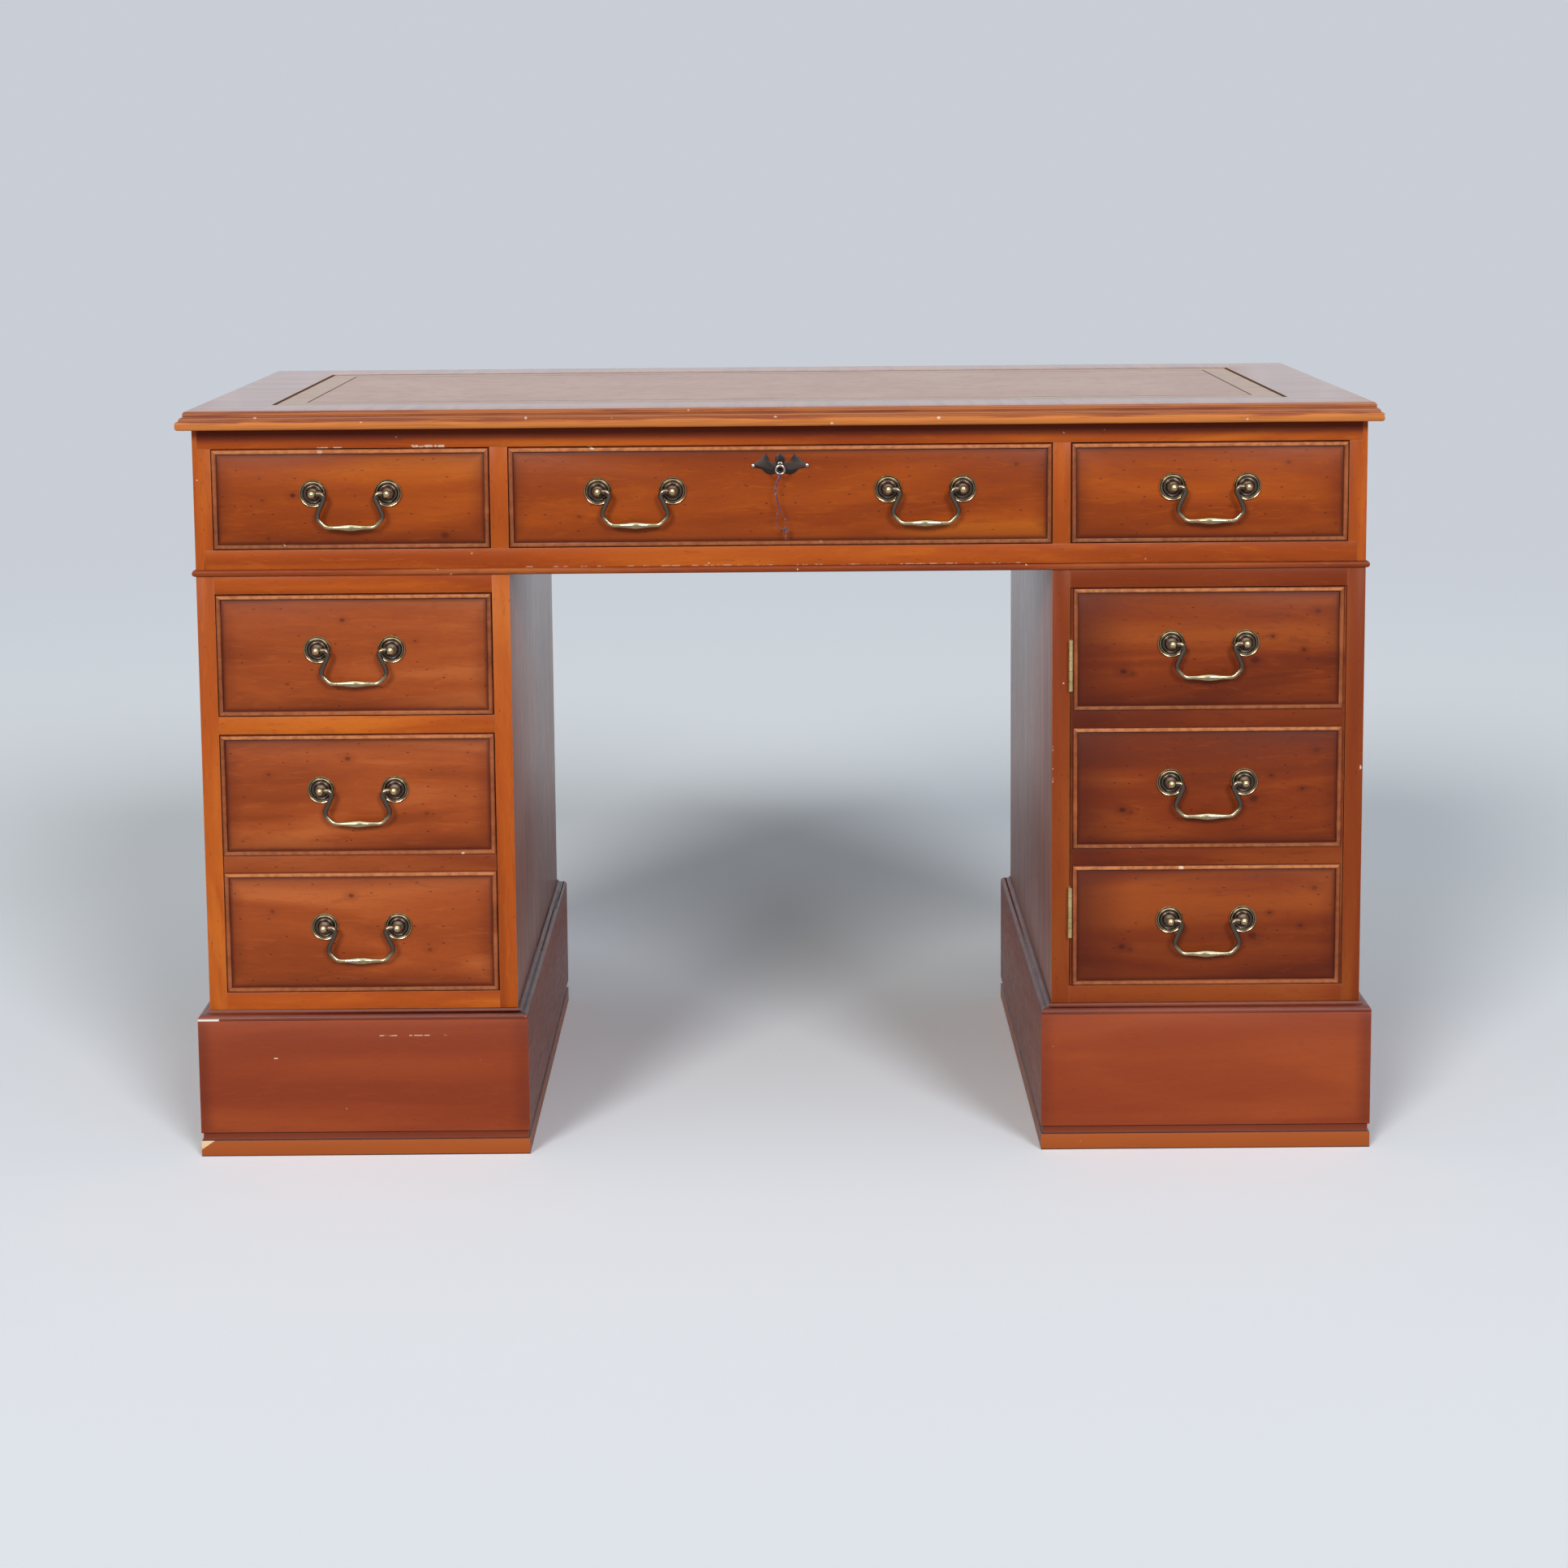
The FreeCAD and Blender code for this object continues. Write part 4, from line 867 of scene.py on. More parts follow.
def turned(name: str, profile: Sequence[tuple[float, float, float]], sides: int) -> bpy.types.Object:
    """Turns a piece along +Z: a circle is extruded and scaled from one place of the profile to the next.

    Args:
        name: The piece's name.
        profile: Pairs of a place along the axis and a radius, in mm, each with how polished it is.
        sides: How many sides the circle has.

    Returns:
        The piece, round the Z axis, closed at both ends, with its polish attribute.
    """
    start, radius, _ = profile[0]
    piece = begin(name, bpy.ops.mesh.primitive_circle_add, vertices=sides, radius=radius * MM,
                  fill_type="NGON", location=(0, 0, start * MM))
    settle_place()
    with editing(piece):
        bpy.ops.mesh.select_mode(type="FACE")
        bpy.ops.mesh.select_all(action="SELECT")
        for along, width, _ in profile[1:]:
            bpy.ops.mesh.extrude_region_move(TRANSFORM_OT_translate={"value": (0, 0, (along - start) * MM)})
            share = width / radius
            bpy.ops.transform.resize(value=(share, share, 1), center_override=(0, 0, along * MM))
            start, radius = along, width
        bpy.ops.mesh.select_all(action="SELECT")
        bpy.ops.mesh.normals_make_consistent(inside=False)
    mark_polish(piece, lambda at: nearest_polish(profile, at))
    return piece


def nearest_polish(profile: Sequence[tuple[float, float, float]], at: Vector) -> float:
    """Polish of the profile's place that lies nearest to a point.

    Args:
        profile: Places along the axis, radii and polish.
        at: A point of the turned piece.

    Returns:
        The polish there, from 0 to 1.
    """
    out, along = math.hypot(at.x, at.y), at.z
    gaps = [(math.hypot(along - a * MM, out - r * MM), shine) for a, r, shine in profile]
    return min(gaps)[1]


def mark_polish(piece: bpy.types.Object, shine: Callable[[Vector], float]) -> None:
    """Writes how polished each point is, from 0 to 1, into the piece's polish attribute."""
    layer = piece.data.attributes.get("polish") or piece.data.attributes.new("polish", "FLOAT", "POINT")
    layer.data.foreach_set("value", [shine(vertex.co) for vertex in piece.data.vertices])


def rounded_route(points: Sequence[Vector], radii: Sequence[float], steps: int) -> list[Vector]:
    """Rounds the corners of a route.

    Args:
        points: The route's corners, first and last included.
        radii: The bend's radius at each corner between them.
        steps: How many straight pieces a bend has.

    Returns:
        The points of the rounded route.
    """
    route = [points[0]]
    for before, corner, after, radius in zip(points, points[1:], points[2:], radii):
        into, out = (corner - before).normalized(), (after - corner).normalized()
        turn = into.angle(out)
        reach = radius * math.tan(turn / 2)
        start, end = corner - into * reach, corner + out * reach
        centre = corner + (out - into).normalized() * (radius / math.cos(turn / 2))
        for step in range(steps + 1):
            share = step / steps
            arm = (start - centre) * math.sin((1 - share) * turn) + (end - centre) * math.sin(share * turn)
            route.append(centre + arm / math.sin(turn))
    route.append(points[-1])
    return route


def swept(name: str, route: Sequence[Vector], radii_mm: Sequence[float], sides: int) -> bpy.types.Object:
    """Sweeps a round section along a route.

    Args:
        name: The piece's name.
        route: The points of its middle line.
        radii_mm: The section's radius at each point, in mm.
        sides: How many sides the section has, a multiple of four.

    Returns:
        The piece, as a mesh with closed ends.
    """
    line = bpy.data.curves.new(name, "CURVE")
    line.dimensions = "3D"
    line.bevel_depth = MM
    line.bevel_resolution = sides // 4 - 1
    line.use_fill_caps = True
    spline = line.splines.new("POLY")
    spline.points.add(len(route) - 1)
    for point, at, radius in zip(spline.points, route, radii_mm):
        point.co = (*at, 1.0)
        point.radius = radius
    piece = linked(name, line)
    only(piece)
    bpy.ops.object.convert(target="MESH")
    with editing(piece):
        bpy.ops.mesh.remove_doubles(threshold=WELD / 2)
        bpy.ops.mesh.normals_make_consistent(inside=False)
    return piece


@dataclass
class Studio:
    """The camera, the pale floor and the soft lamps."""

    place: tuple[float, float, float] = (0.0014, -3.4049, 1.0301)
    yaw: float = 0.0006
    pitch: float = -0.1269
    roll: float = -0.0081
    focal_px: float = 3802.3
    frame_px: float = 1932.0
    sensor: float = 36.0
    shift_y: float = -0.15
    backdrop: str = "#C9CED6"
    floor_tone: str = "#EFF7FF"
    floor_gain: float = 1.38
    # How bright camera rays see the floor behind the desk, lower as painted shade
    far_gain: float = 1.18
    floor_bounce: str = "#DCE0E6"
    floor_radius: float = 14.0
    fill: float = 0.06
    # Each lamp's name, which way its light goes, its strength, how wide it looks in degrees, and its tint
    lamps: tuple = (
        ("soft_light_left", (0.362, 0.83, -0.4255), 1.57, 17.0, "#FFFCF6"),
        ("soft_light_right", (-0.362, 0.83, -0.4255), 1.42, 17.0, "#FBFCFF"),
        ("soft_light_above", (0.0, 0.3, -0.95), 0.5, 60.0, "#FFFFFF"))

    def camera(self) -> None:
        """Sets the camera where the photograph was taken from."""
        sight = Vector((math.sin(self.yaw) * math.cos(self.pitch), math.cos(self.yaw) * math.cos(self.pitch),
                        math.sin(self.pitch)))
        level = Vector((math.cos(self.yaw), -math.sin(self.yaw), 0))
        rise = level.cross(sight)
        right = level * math.cos(self.roll) + rise * math.sin(self.roll)
        up = rise * math.cos(self.roll) - level * math.sin(self.roll)
        data = bpy.data.cameras.new("photograph")
        data.sensor_width = self.sensor
        data.lens = self.focal_px / self.frame_px * self.sensor
        data.shift_y = self.shift_y
        camera = linked("photograph", data)
        turn = Matrix((right, up, -sight)).transposed().to_4x4()
        camera.matrix_world = Matrix.Translation(self.place) @ turn
        bpy.context.scene.camera = camera

    def lamp(self, name: str, way: tuple[float, float, float], level: float, spread_deg: float,
             tint: str) -> None:
        """Sets one far soft light, so that the floor is as bright behind the desk as before it.

        Args:
            name: The lamp's name.
            way: Which way its light goes.
            level: Its strength.
            spread_deg: How wide it looks, which gives the softness of its shadows.
            tint: Its colour.
        """
        data = bpy.data.lights.new(name, "SUN")
        data.energy = level
        data.angle = math.radians(spread_deg)
        data.color = colour(tint)[:3]
        linked(name, data).rotation_euler = Vector(way).to_track_quat("-Z", "Y").to_euler()

    def world(self) -> None:
        """Sets an even pale sky, which the camera and gloss see as the backdrop's colour."""
        world = bpy.data.worlds.new("studio")
        add = Tree(world).add
        camera, glossy, through = add("rays")
        seen = add("MAXIMUM", add("MAXIMUM", camera, glossy), through)
        _, ahead, up = add("axes", add("sky"))
        # Gloss sees a dimmer room behind the camera, and a bright ceiling
        dim = add("MULTIPLY", add("ramp", ahead, 0.1, -0.5), glossy)
        level = add("SUBTRACT", 1.0, add("MULTIPLY", dim, 0.45))
        level = add("ADD", level, add("MULTIPLY", add("ramp", up, 0.35, 0.8), glossy))
        both = add("either", seen, add("light", "#F4F6FA", self.fill), add("light", self.backdrop, level))
        add("world", both)
        bpy.context.scene.world = world

    def floor(self) -> None:
        """Lays the floor, painted darker behind the desk than before it, which fades into the backdrop's
        colour far from the desk.
        """
        floor = begin("studio_floor", bpy.ops.mesh.primitive_circle_add, vertices=96,
                      radius=self.floor_radius, fill_type="NGON")
        material = bpy.data.materials.new("painted floor")
        add = Tree(material).add
        place = add("place")
        camera, glossy, _ = add("rays")
        fade = add("MULTIPLY", add("ramp", add("length", place), 2.2, 5.0), add("MAXIMUM", camera, glossy))
        near, far = ([part * gain for part in colour(self.floor_tone)]
                     for gain in (self.floor_gain, self.far_gain))
        # Camera rays see the floor painted darker behind the desk: painted shade that deepens the desk's
        # shadow there
        shown = add("mix", add("ramp", add("axes", place)[1], -1.1, 0.4), near, far)
        paint = add("paint", add("mix", camera, self.floor_bounce, shown))
        add("surface", add("either", fade, paint, add("glow", self.backdrop, 1.0)))
        floor.data.materials.append(material)

    def build(self) -> None:
        """Builds the whole studio."""
        self.world()
        self.floor()
        for lamp in self.lamps:
            self.lamp(*lamp)
        bpy.context.scene.view_settings.view_transform = "Standard"


@dataclass
class KeyString:
    """The loop of string on the key: two yarns twisted together, tied in a knot with a frayed tail."""

    thickness: float = 1.0 * MM
    ply_radius_mm: float = 0.3
    ply_offset: float = 0.21 * MM
    twist_pitch: float = 3.6 * MM
    # The knot: half its width, depth and height, its turns, and the radii of its string and core
    knot_half_mm: tuple = (1.8, 1.3, 1.4)
    knot_turns: float = 2.6
    knot_steps: int = 46
    wrap_mm: float = 0.62
    core_mm: tuple = (0.9, 1.3, 0.8)
    # Its frayed tail: how many fibres, and a fibre's radius from the knot to its tip
    fibres: int = 9
    fibre_mm: tuple = (0.34, 0.34, 0.3, 0.26, 0.22, 0.16)
    route_mm: tuple = (
        (3.4, -296.6, 652.4), (-1.6, -296.8, 654.0), (-3.9, -297.2, 660.0), (-3.7, -297.6, 668.0),
        (-1.9, -298.0, 675.5), (-3.6, -298.2, 684.0), (-5.9, -298.4, 692.5), (-5.0, -298.5, 700.5),
        (-1.7, -298.5, 706.6), (-0.9, -298.4, 712.2), (0.2, -294.6, 712.4), (0.7, -294.4, 706.2),
        (-3.2, -294.8, 699.5), (-4.4, -295.2, 691.0), (-2.8, -295.4, 682.5), (-0.4, -295.6, 674.5),
        (3.0, -295.9, 667.5), (5.9, -296.2, 660.5), (6.6, -296.4, 653.8))

    def middle_line(self) -> list[Vector]:
        """Reads points from the smooth spline that has the route's points as its control points.

        Returns:
            Points along the string's middle line.
        """
        line = bpy.data.curves.new("string_route", "CURVE")
        line.dimensions = "3D"
        line.resolution_u = 16
        spline = line.splines.new("NURBS")
        spline.points.add(len(self.route_mm) - 1)
        for point, at in zip(spline.points, self.route_mm):
            point.co = (*(Vector(at) * MM), 1.0)
        spline.order_u = 3
        spline.use_endpoint_u = True
        holder = linked("string_route", line)
        bpy.context.view_layer.update()
        mesh = bpy.data.meshes.new_from_object(holder.evaluated_get(bpy.context.evaluated_depsgraph_get()))
        points = [vertex.co.copy() for vertex in mesh.vertices]
        bpy.data.objects.remove(holder)
        return points

    def yarns(self, points: Sequence[Vector]) -> bpy.types.Object:
        """Twists two yarns round the middle line.

        Args:
            points: The middle line's points.

        Returns:
            The string.
        """
        plies = []
        for start in (0.0, math.pi):
            route, run = [], 0.0
            for k, at in enumerate(points):
                ahead = points[min(k + 1, len(points) - 1)] - points[max(k - 1, 0)]
                run += (at - points[k - 1]).length if k else 0.0
                side = ahead.cross(Vector((0.3, 1, 0.2))).normalized()
                other = ahead.cross(side).normalized()
                turn = start + 2 * math.pi * run / self.twist_pitch
                route.append(at + (side * math.cos(turn) + other * math.sin(turn)) * self.ply_offset)
            plies.append(swept("string_yarn", route, [self.ply_radius_mm] * len(route), 8))
        return joined(plies, "string_yarns")

    def knot(self, first: Vector, last: Vector) -> bpy.types.Object:
        """Ties the two ends: three turns of string drawn tight, with two frayed ends below.

        Args:
            first: Where the string starts.
            last: Where it ends.

        Returns:
            The knot with its tail.
        """
        centre = (first + last) / 2
        wide, deep, tall = (half * MM for half in self.knot_half_mm)
        wrap = []
        for k in range(self.knot_steps + 1):
            share = k / self.knot_steps
            turn = 2 * math.pi * self.knot_turns * share
            lean = math.sin(turn * 1.5) * 0.5 * MM
            wrap.append(centre + Vector((wide * math.cos(turn), deep * math.sin(turn),
                                         tall * (1 - 2 * share) + lean)))
        parts = [swept("knot_wrap", wrap, [self.wrap_mm] * len(wrap), 8)]
        core = [centre + Vector((0, 0, height)) for height in (-wide, 0.0, wide)]
        parts.append(swept("knot_core", core, self.core_mm, 12))
        spread = random.Random(4)
        for _ in range(self.fibres):
            sway = Vector((spread.uniform(-0.7, 0.7), spread.uniform(-0.6, 0.6), 0)) * MM
            drop = spread.uniform(7.6, 9.3) * MM
            fibre = [centre - Vector((0, 0, tall)), centre - Vector((0, 0, 4.0 * MM)) + sway * 0.4,
                     centre - Vector((0, 0, 1.6 * MM + drop)) + sway]
            parts.append(swept("frayed_end", rounded_route(fibre, [9 * MM], 3), self.fibre_mm, 8))
        return joined(parts, "string_knot_tied")

    def build(self, finish: bpy.types.Material) -> None:
        """Builds the string and its knot.

        Args:
            finish: The yarn's material.
        """
        points = self.middle_line()
        first, last = points[0], points[-1]
        length = sum((b - a).length for a, b in zip(points, points[1:]))
        string = settle(self.yarns(points), finish, "string", "cotton_string", ["key_string"])
        knot = settle(self.knot(first, last), finish, "string", "cotton_string", ["string_knot"], 60.0)
        tuple(first)
        [tuple(at) for at in points]
        log.info("string is %.1f mm long", length / MM)


@dataclass
class Handles:
    """Ten swan-neck bails, each between two turned posts."""

    post_half: float = 38.0
    sides: int = 40
    wire: float = 2.1
    neck_more: float = 0.6
    journal: float = 1.55
    grip: float = 4.1
    grip_half: float = 18.0
    # The wire's corners, from a post's axis toward the middle and up, and the bends between them
    corners: tuple = ((-2.4, 0.0), (14.4, 0.0), (3.4, -24.0), (13.5, -34.4))
    bends: tuple = (4.4, 8.0, 9.0)
    # Where the thin journal widens to the neck, from the post's axis inward
    shoulder: tuple = (4.3, 4.7)
    # Along the axis from the front, radius, polish: rim, ring, dish, boss, neck and ball
    post_profile: tuple = (
        (0.0, 13.9, 0.2), (1.2, 14.2, 0.7), (2.0, 14.1, 1.0), (2.6, 13.6, 1.0), (2.5, 13.1, 0.6),
        (1.8, 12.5, 0.0), (1.7, 12.1, 0.0), (2.2, 11.7, 0.7), (2.5, 11.2, 0.9), (2.2, 10.7, 0.3),
        (1.5, 10.2, 0.0), (1.1, 9.0, 0.0), (1.1, 7.9, 0.0), (1.6, 7.2, 0.05), (2.9, 6.8, 0.1),
        (4.4, 6.4, 0.12), (5.7, 5.6, 0.14), (6.7, 4.4, 0.15), (7.2, 3.4, 0.1), (8.2, 2.8, 0.1),
        (9.1, 2.9, 0.3), (9.9, 3.5, 0.8), (11.0, 4.0, 1.0), (12.3, 4.1, 1.0), (13.7, 3.9, 1.0),
        (15.0, 3.0, 1.0), (15.9, 1.9, 1.0), (16.4, 0.5, 1.0))

    def post(self) -> bpy.types.Object:
        """Turns one post, standing out along -Y from the origin.

        Returns:
            The post.
        """
        post = turned("post_pattern", self.post_profile, self.sides)
        post.data.transform(FORWARD)
        return post

    def bail(self) -> bpy.types.Object:
        """Bends one bail in the XZ plane, hanging from its pivot line through the origin.

        Returns:
            The bail.
        """
        half = self.post_half
        points = [Vector((run - half, 0, rise)) * MM for run, rise in self.corners]
        points += [Vector((-at.x, 0, at.z)) for at in reversed(points)]
        bends = [radius * MM for radius in self.bends]
        route = rounded_route(points, bends + bends[::-1], 8)
        # The grip is one straight run, so it gets points of its own for its swelling
        low = points[3].z
        steps = 14
        grip = [Vector(((2 * k / steps - 1) * self.grip_half * MM, 0, low)) for k in range(steps + 1)]
        middle = next(k for k in range(len(route)) if route[k].x > 0 and abs(route[k].z - low) < NEAR)
        route = route[:middle] + grip + route[middle:]
        outer, inner = (Vector((half - run, 0, 0)) * MM for run in self.shoulder)
        route[1:1] = [-outer, -inner]
        route[-1:-1] = [inner, outer]
        radii = [self.section(at, low) for at in route]
        radii[0] = radii[1] = radii[-1] = radii[-2] = self.journal
        bail = swept("bail_pattern", route, radii, 16)
        mark_polish(bail, lambda at: self.rubbed(at, low))
        return bail

    def section(self, at: Vector, low: float) -> float:
        """Radius of the wire at a point of its route, in mm.

        Args:
            at: The point.
            low: The height of the grip.

        Returns:
            The radius.
        """
        run = abs(at.x) / MM
        if at.z - low > 1 * MM or run >= self.grip_half:
            return self.wire + self.neck_more * min(1.0, max(0.0, at.z - low) / (22 * MM))
        swell = 0.5 + 0.5 * math.cos(math.pi * run / self.grip_half)
        return self.wire + (self.grip - self.wire) * swell ** 1.15

    def rubbed(self, at: Vector, low: float) -> float:
        """How bright a point of the bail is rubbed: most on the grip, least in the swan necks.

        Args:
            at: The point.
            low: The height of the grip.

        Returns:
            The polish, from 0 to 1.
        """
        on_grip = max(0.0, 1 - max(0.0, at.z - low - 3 * MM) / (8 * MM))
        upper = 0.5 if at.z > 0.6 * MM else 0.0
        return max(on_grip * 0.8, upper, 0.06)

    def build(self, joints: Sequence[dict], finish: bpy.types.Material) -> None:
        """Hangs a bail at each swing joint, and its posts on the front that carries it.

        Args:
            joints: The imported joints.
            finish: The brass's material.
        """
        post, bail = self.post(), self.bail()
        posts: dict[str, list[bpy.types.Object]] = {}
        for joint in joints:
            if "_bail" not in joint["name"]:
                continue
            pivot = Vector(joint["pos_m"])
            hung = copy_of(bail, Matrix.Translation(pivot))
            hung.name = joint["child"] + "_cast"
            settle(hung, finish, joint["child"], "antique_brass", [joint["child"]], 60.0)
            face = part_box(joint["parent"] + "_handle_mounts")[1].y
            for side in (-1, 1):
                at = Vector((pivot.x + side * self.post_half * MM, face, pivot.z))
                posts.setdefault(joint["parent"], []).append(copy_of(post, Matrix.Translation(at)))
        for front, pieces in posts.items():
            settle(joined(pieces, front + "_posts"), finish, front, "antique_brass",
                   [front + "_handle_mounts"], 50.0)
        bpy.data.objects.remove(post)
        bpy.data.objects.remove(bail)


@dataclass
class Fronts:
    """The drawer fronts and the door, with their cock beads."""

    false_rail: float = 18 * MM
    bead_width: float = 5 * MM
    bead_round: float = 2.1 * MM
    board_ease: float = 0.4 * MM
    # How far behind its crest a bead is paler, partly rubbed and partly painted highlight, and how much at
    # its foot and at its sides, where the painted highlight is weaker than at its top
    wear_depth: float = 0.9 * MM
    foot_wear: float = 0.5
    side_wear: float = 0.3
    panels: tuple = (("left_drawer", 1), ("centre_drawer", 1), ("right_drawer", 1), ("upper_drawer", 1),
                     ("file_drawer", 2), ("door", 3))

    def row(self, front: str, count: int) -> PanelRow:
        """Works out where a front's fields lie from its cock beads.

        Args:
            front: The body's name.
            count: How many fields the front has.

        Returns:
            The row of fields.
        """
        low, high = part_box(front + "_beads")
        height = (high.z - low.z - self.false_rail * (count - 1)) / count
        return PanelRow((low.x + high.x) / 2, (high.x - low.x) / 2, low.z + height / 2, height / 2,
                        height + self.false_rail)

    def bead_frame(self, row: PanelRow, number: int, seat: float, crest: float) -> bpy.types.Object:
        """Models one frame of cock bead: a plate inset, opened, drawn forward and rounded.

        Args:
            row: The front's fields.
            number: Which field, from the lowest.
            seat: The Y of its back.
            crest: The Y of its crest.

        Returns:
            The frame.
        """
        at = (row.middle_x, seat, row.first_z + row.pitch * number)
        frame = begin("bead_frame", bpy.ops.mesh.primitive_plane_add, size=1, location=at,
                      rotation=(math.radians(90), 0, 0))
        frame.scale = (row.half_x * 2, row.half_z * 2, 1)
        settle_place()
        with editing(frame):
            bpy.ops.mesh.inset(thickness=self.bead_width, depth=0)
            bpy.ops.mesh.delete(type="FACE")
            bpy.ops.mesh.select_all(action="SELECT")
            bpy.ops.mesh.extrude_region_move(TRANSFORM_OT_translate={"value": (0, crest - seat, 0)})
            # The edges of the crest, without those that cross its mitres
            pick(frame, "edges", lambda e: all(abs(v.co.y - crest) < NEAR for v in e.verts)
                 and min(abs(e.verts[0].co[axis] - e.verts[1].co[axis]) for axis in (0, 2)) < NEAR)
            bpy.ops.mesh.bevel(offset=self.bead_round, segments=5, affect="EDGES", clamp_overlap=True)
            bpy.ops.mesh.select_all(action="SELECT")
            bpy.ops.mesh.normals_make_consistent(inside=False)
        # The crest is paler: partly rubbed, partly a painted highlight that is strongest on the top bead
        edge = frame.data.attributes.new("edge", "FLOAT", "CORNER")
        for face in frame.data.polygons:
            share = self.wear((face.center.z - at[2]) / row.half_z)
            for corner in face.loop_indices:
                depth = frame.data.vertices[frame.data.loops[corner].vertex_index].co.y - crest
                edge.data[corner].value = share * max(0.0, 1 - depth / self.wear_depth)
        return frame

    def wear(self, level: float) -> float:
        """How pale a strip of bead is, partly rubbed and partly painted highlight: most at the top, which the
        light from above catches, least at the sides.

        Args:
            level: The height of the strip's middle, from -1 at the foot to 1 at the top.

        Returns:
            The share, from 0 to 1.
        """
        if level > 0.8:
            return 1.0
        return self.foot_wear if level < -0.8 else self.side_wear

    def build(self, veneers: dict[str, Veneer], bead_finish: bpy.types.Material) -> None:
        """Builds and dresses every front.

        Args:
            veneers: Each front's veneer, without its row of fields.
            bead_finish: The cock beads' material.
        """
        for front, count in self.panels:
            row = self.row(front, count)
            recipe = veneers[front]
            finish = replace(recipe, panels=row).build()
            board = "door_panel" if front == "door" else front + "_front"
            slot = "door_veneer" if front == "door" else "front_veneer"
            settle(eased_copy(board, board + "_veneered", self.board_ease), finish, front, slot, [board])
            seat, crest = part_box(front + "_beads")[1].y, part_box(front + "_beads")[0].y
            frames = [self.bead_frame(row, number, seat, crest) for number in range(count)]
            settle(joined(frames, front + "_cock_beads"), bead_finish, front, "bead_wood",
                   [front + "_beads"], 50.0)


@dataclass
class Carcass:
    """What stands still: boards, rails, mouldings, plinths and the writing top; and the drawers' boxes."""

    # CAD node, finish, the record's slot, how wide the eased edges are in mm, and the front edges' finish
    boards: tuple = (
        ("writing_top", "top", "top_veneer", 0.3, None),
        ("top_case_rails", "rail", "front_veneer", 0.45, None),
        ("top_case_sides", "side", "case_veneer", 0.45, "stile"),
        ("top_case_dividers", "side", "case_veneer", 0.45, "stile"),
        ("top_case_back", "side", "case_veneer", 0.45, None),
        ("pedestal_rails", "rail", "front_veneer", 0.45, None),
        ("pedestal_sides", "side", "case_veneer", 0.45, "stile"),
        ("pedestal_backs", "side", "case_veneer", 0.45, None),
        ("waist_moulding", "waist", "plinth_veneer", 0.3, None),
        ("plinth_mouldings", "skirting", "plinth_veneer", 0.3, None),
        ("plinths", "plinth", "plinth_veneer", 0.45, None),
        ("pedestal_boards", "timber", "inner_wood", 0.3, None),
        ("drawer_runners", "timber", "inner_wood", 0.3, None),
        ("cupboard_shelf", "timber", "inner_wood", 0.8, None),
        ("door_catch", "steel", "lock_steel", 0.3, None))
    drawers: tuple = ("left_drawer", "centre_drawer", "right_drawer", "upper_drawer", "file_drawer")
    box_ease: float = 0.6 * MM

    def build(self, finishes: dict[str, bpy.types.Material]) -> None:
        """Eases the edges of every board and gives it its finish.

        Args:
            finishes: The shared materials.
        """
        for node, finish, slot, width, front in self.boards:
            piece = eased_copy(node, node + "_finished", width * MM)
            settle(piece, finishes[finish], "desk", slot, [node])
            if front:
                lip(piece, finishes[front])
        for drawer in self.drawers:
            node = drawer + "_box"
            piece = eased_copy(node, node + "_finished", self.box_ease, apart=True)
            settle(piece, finishes["timber"], drawer, "inner_wood", [node])


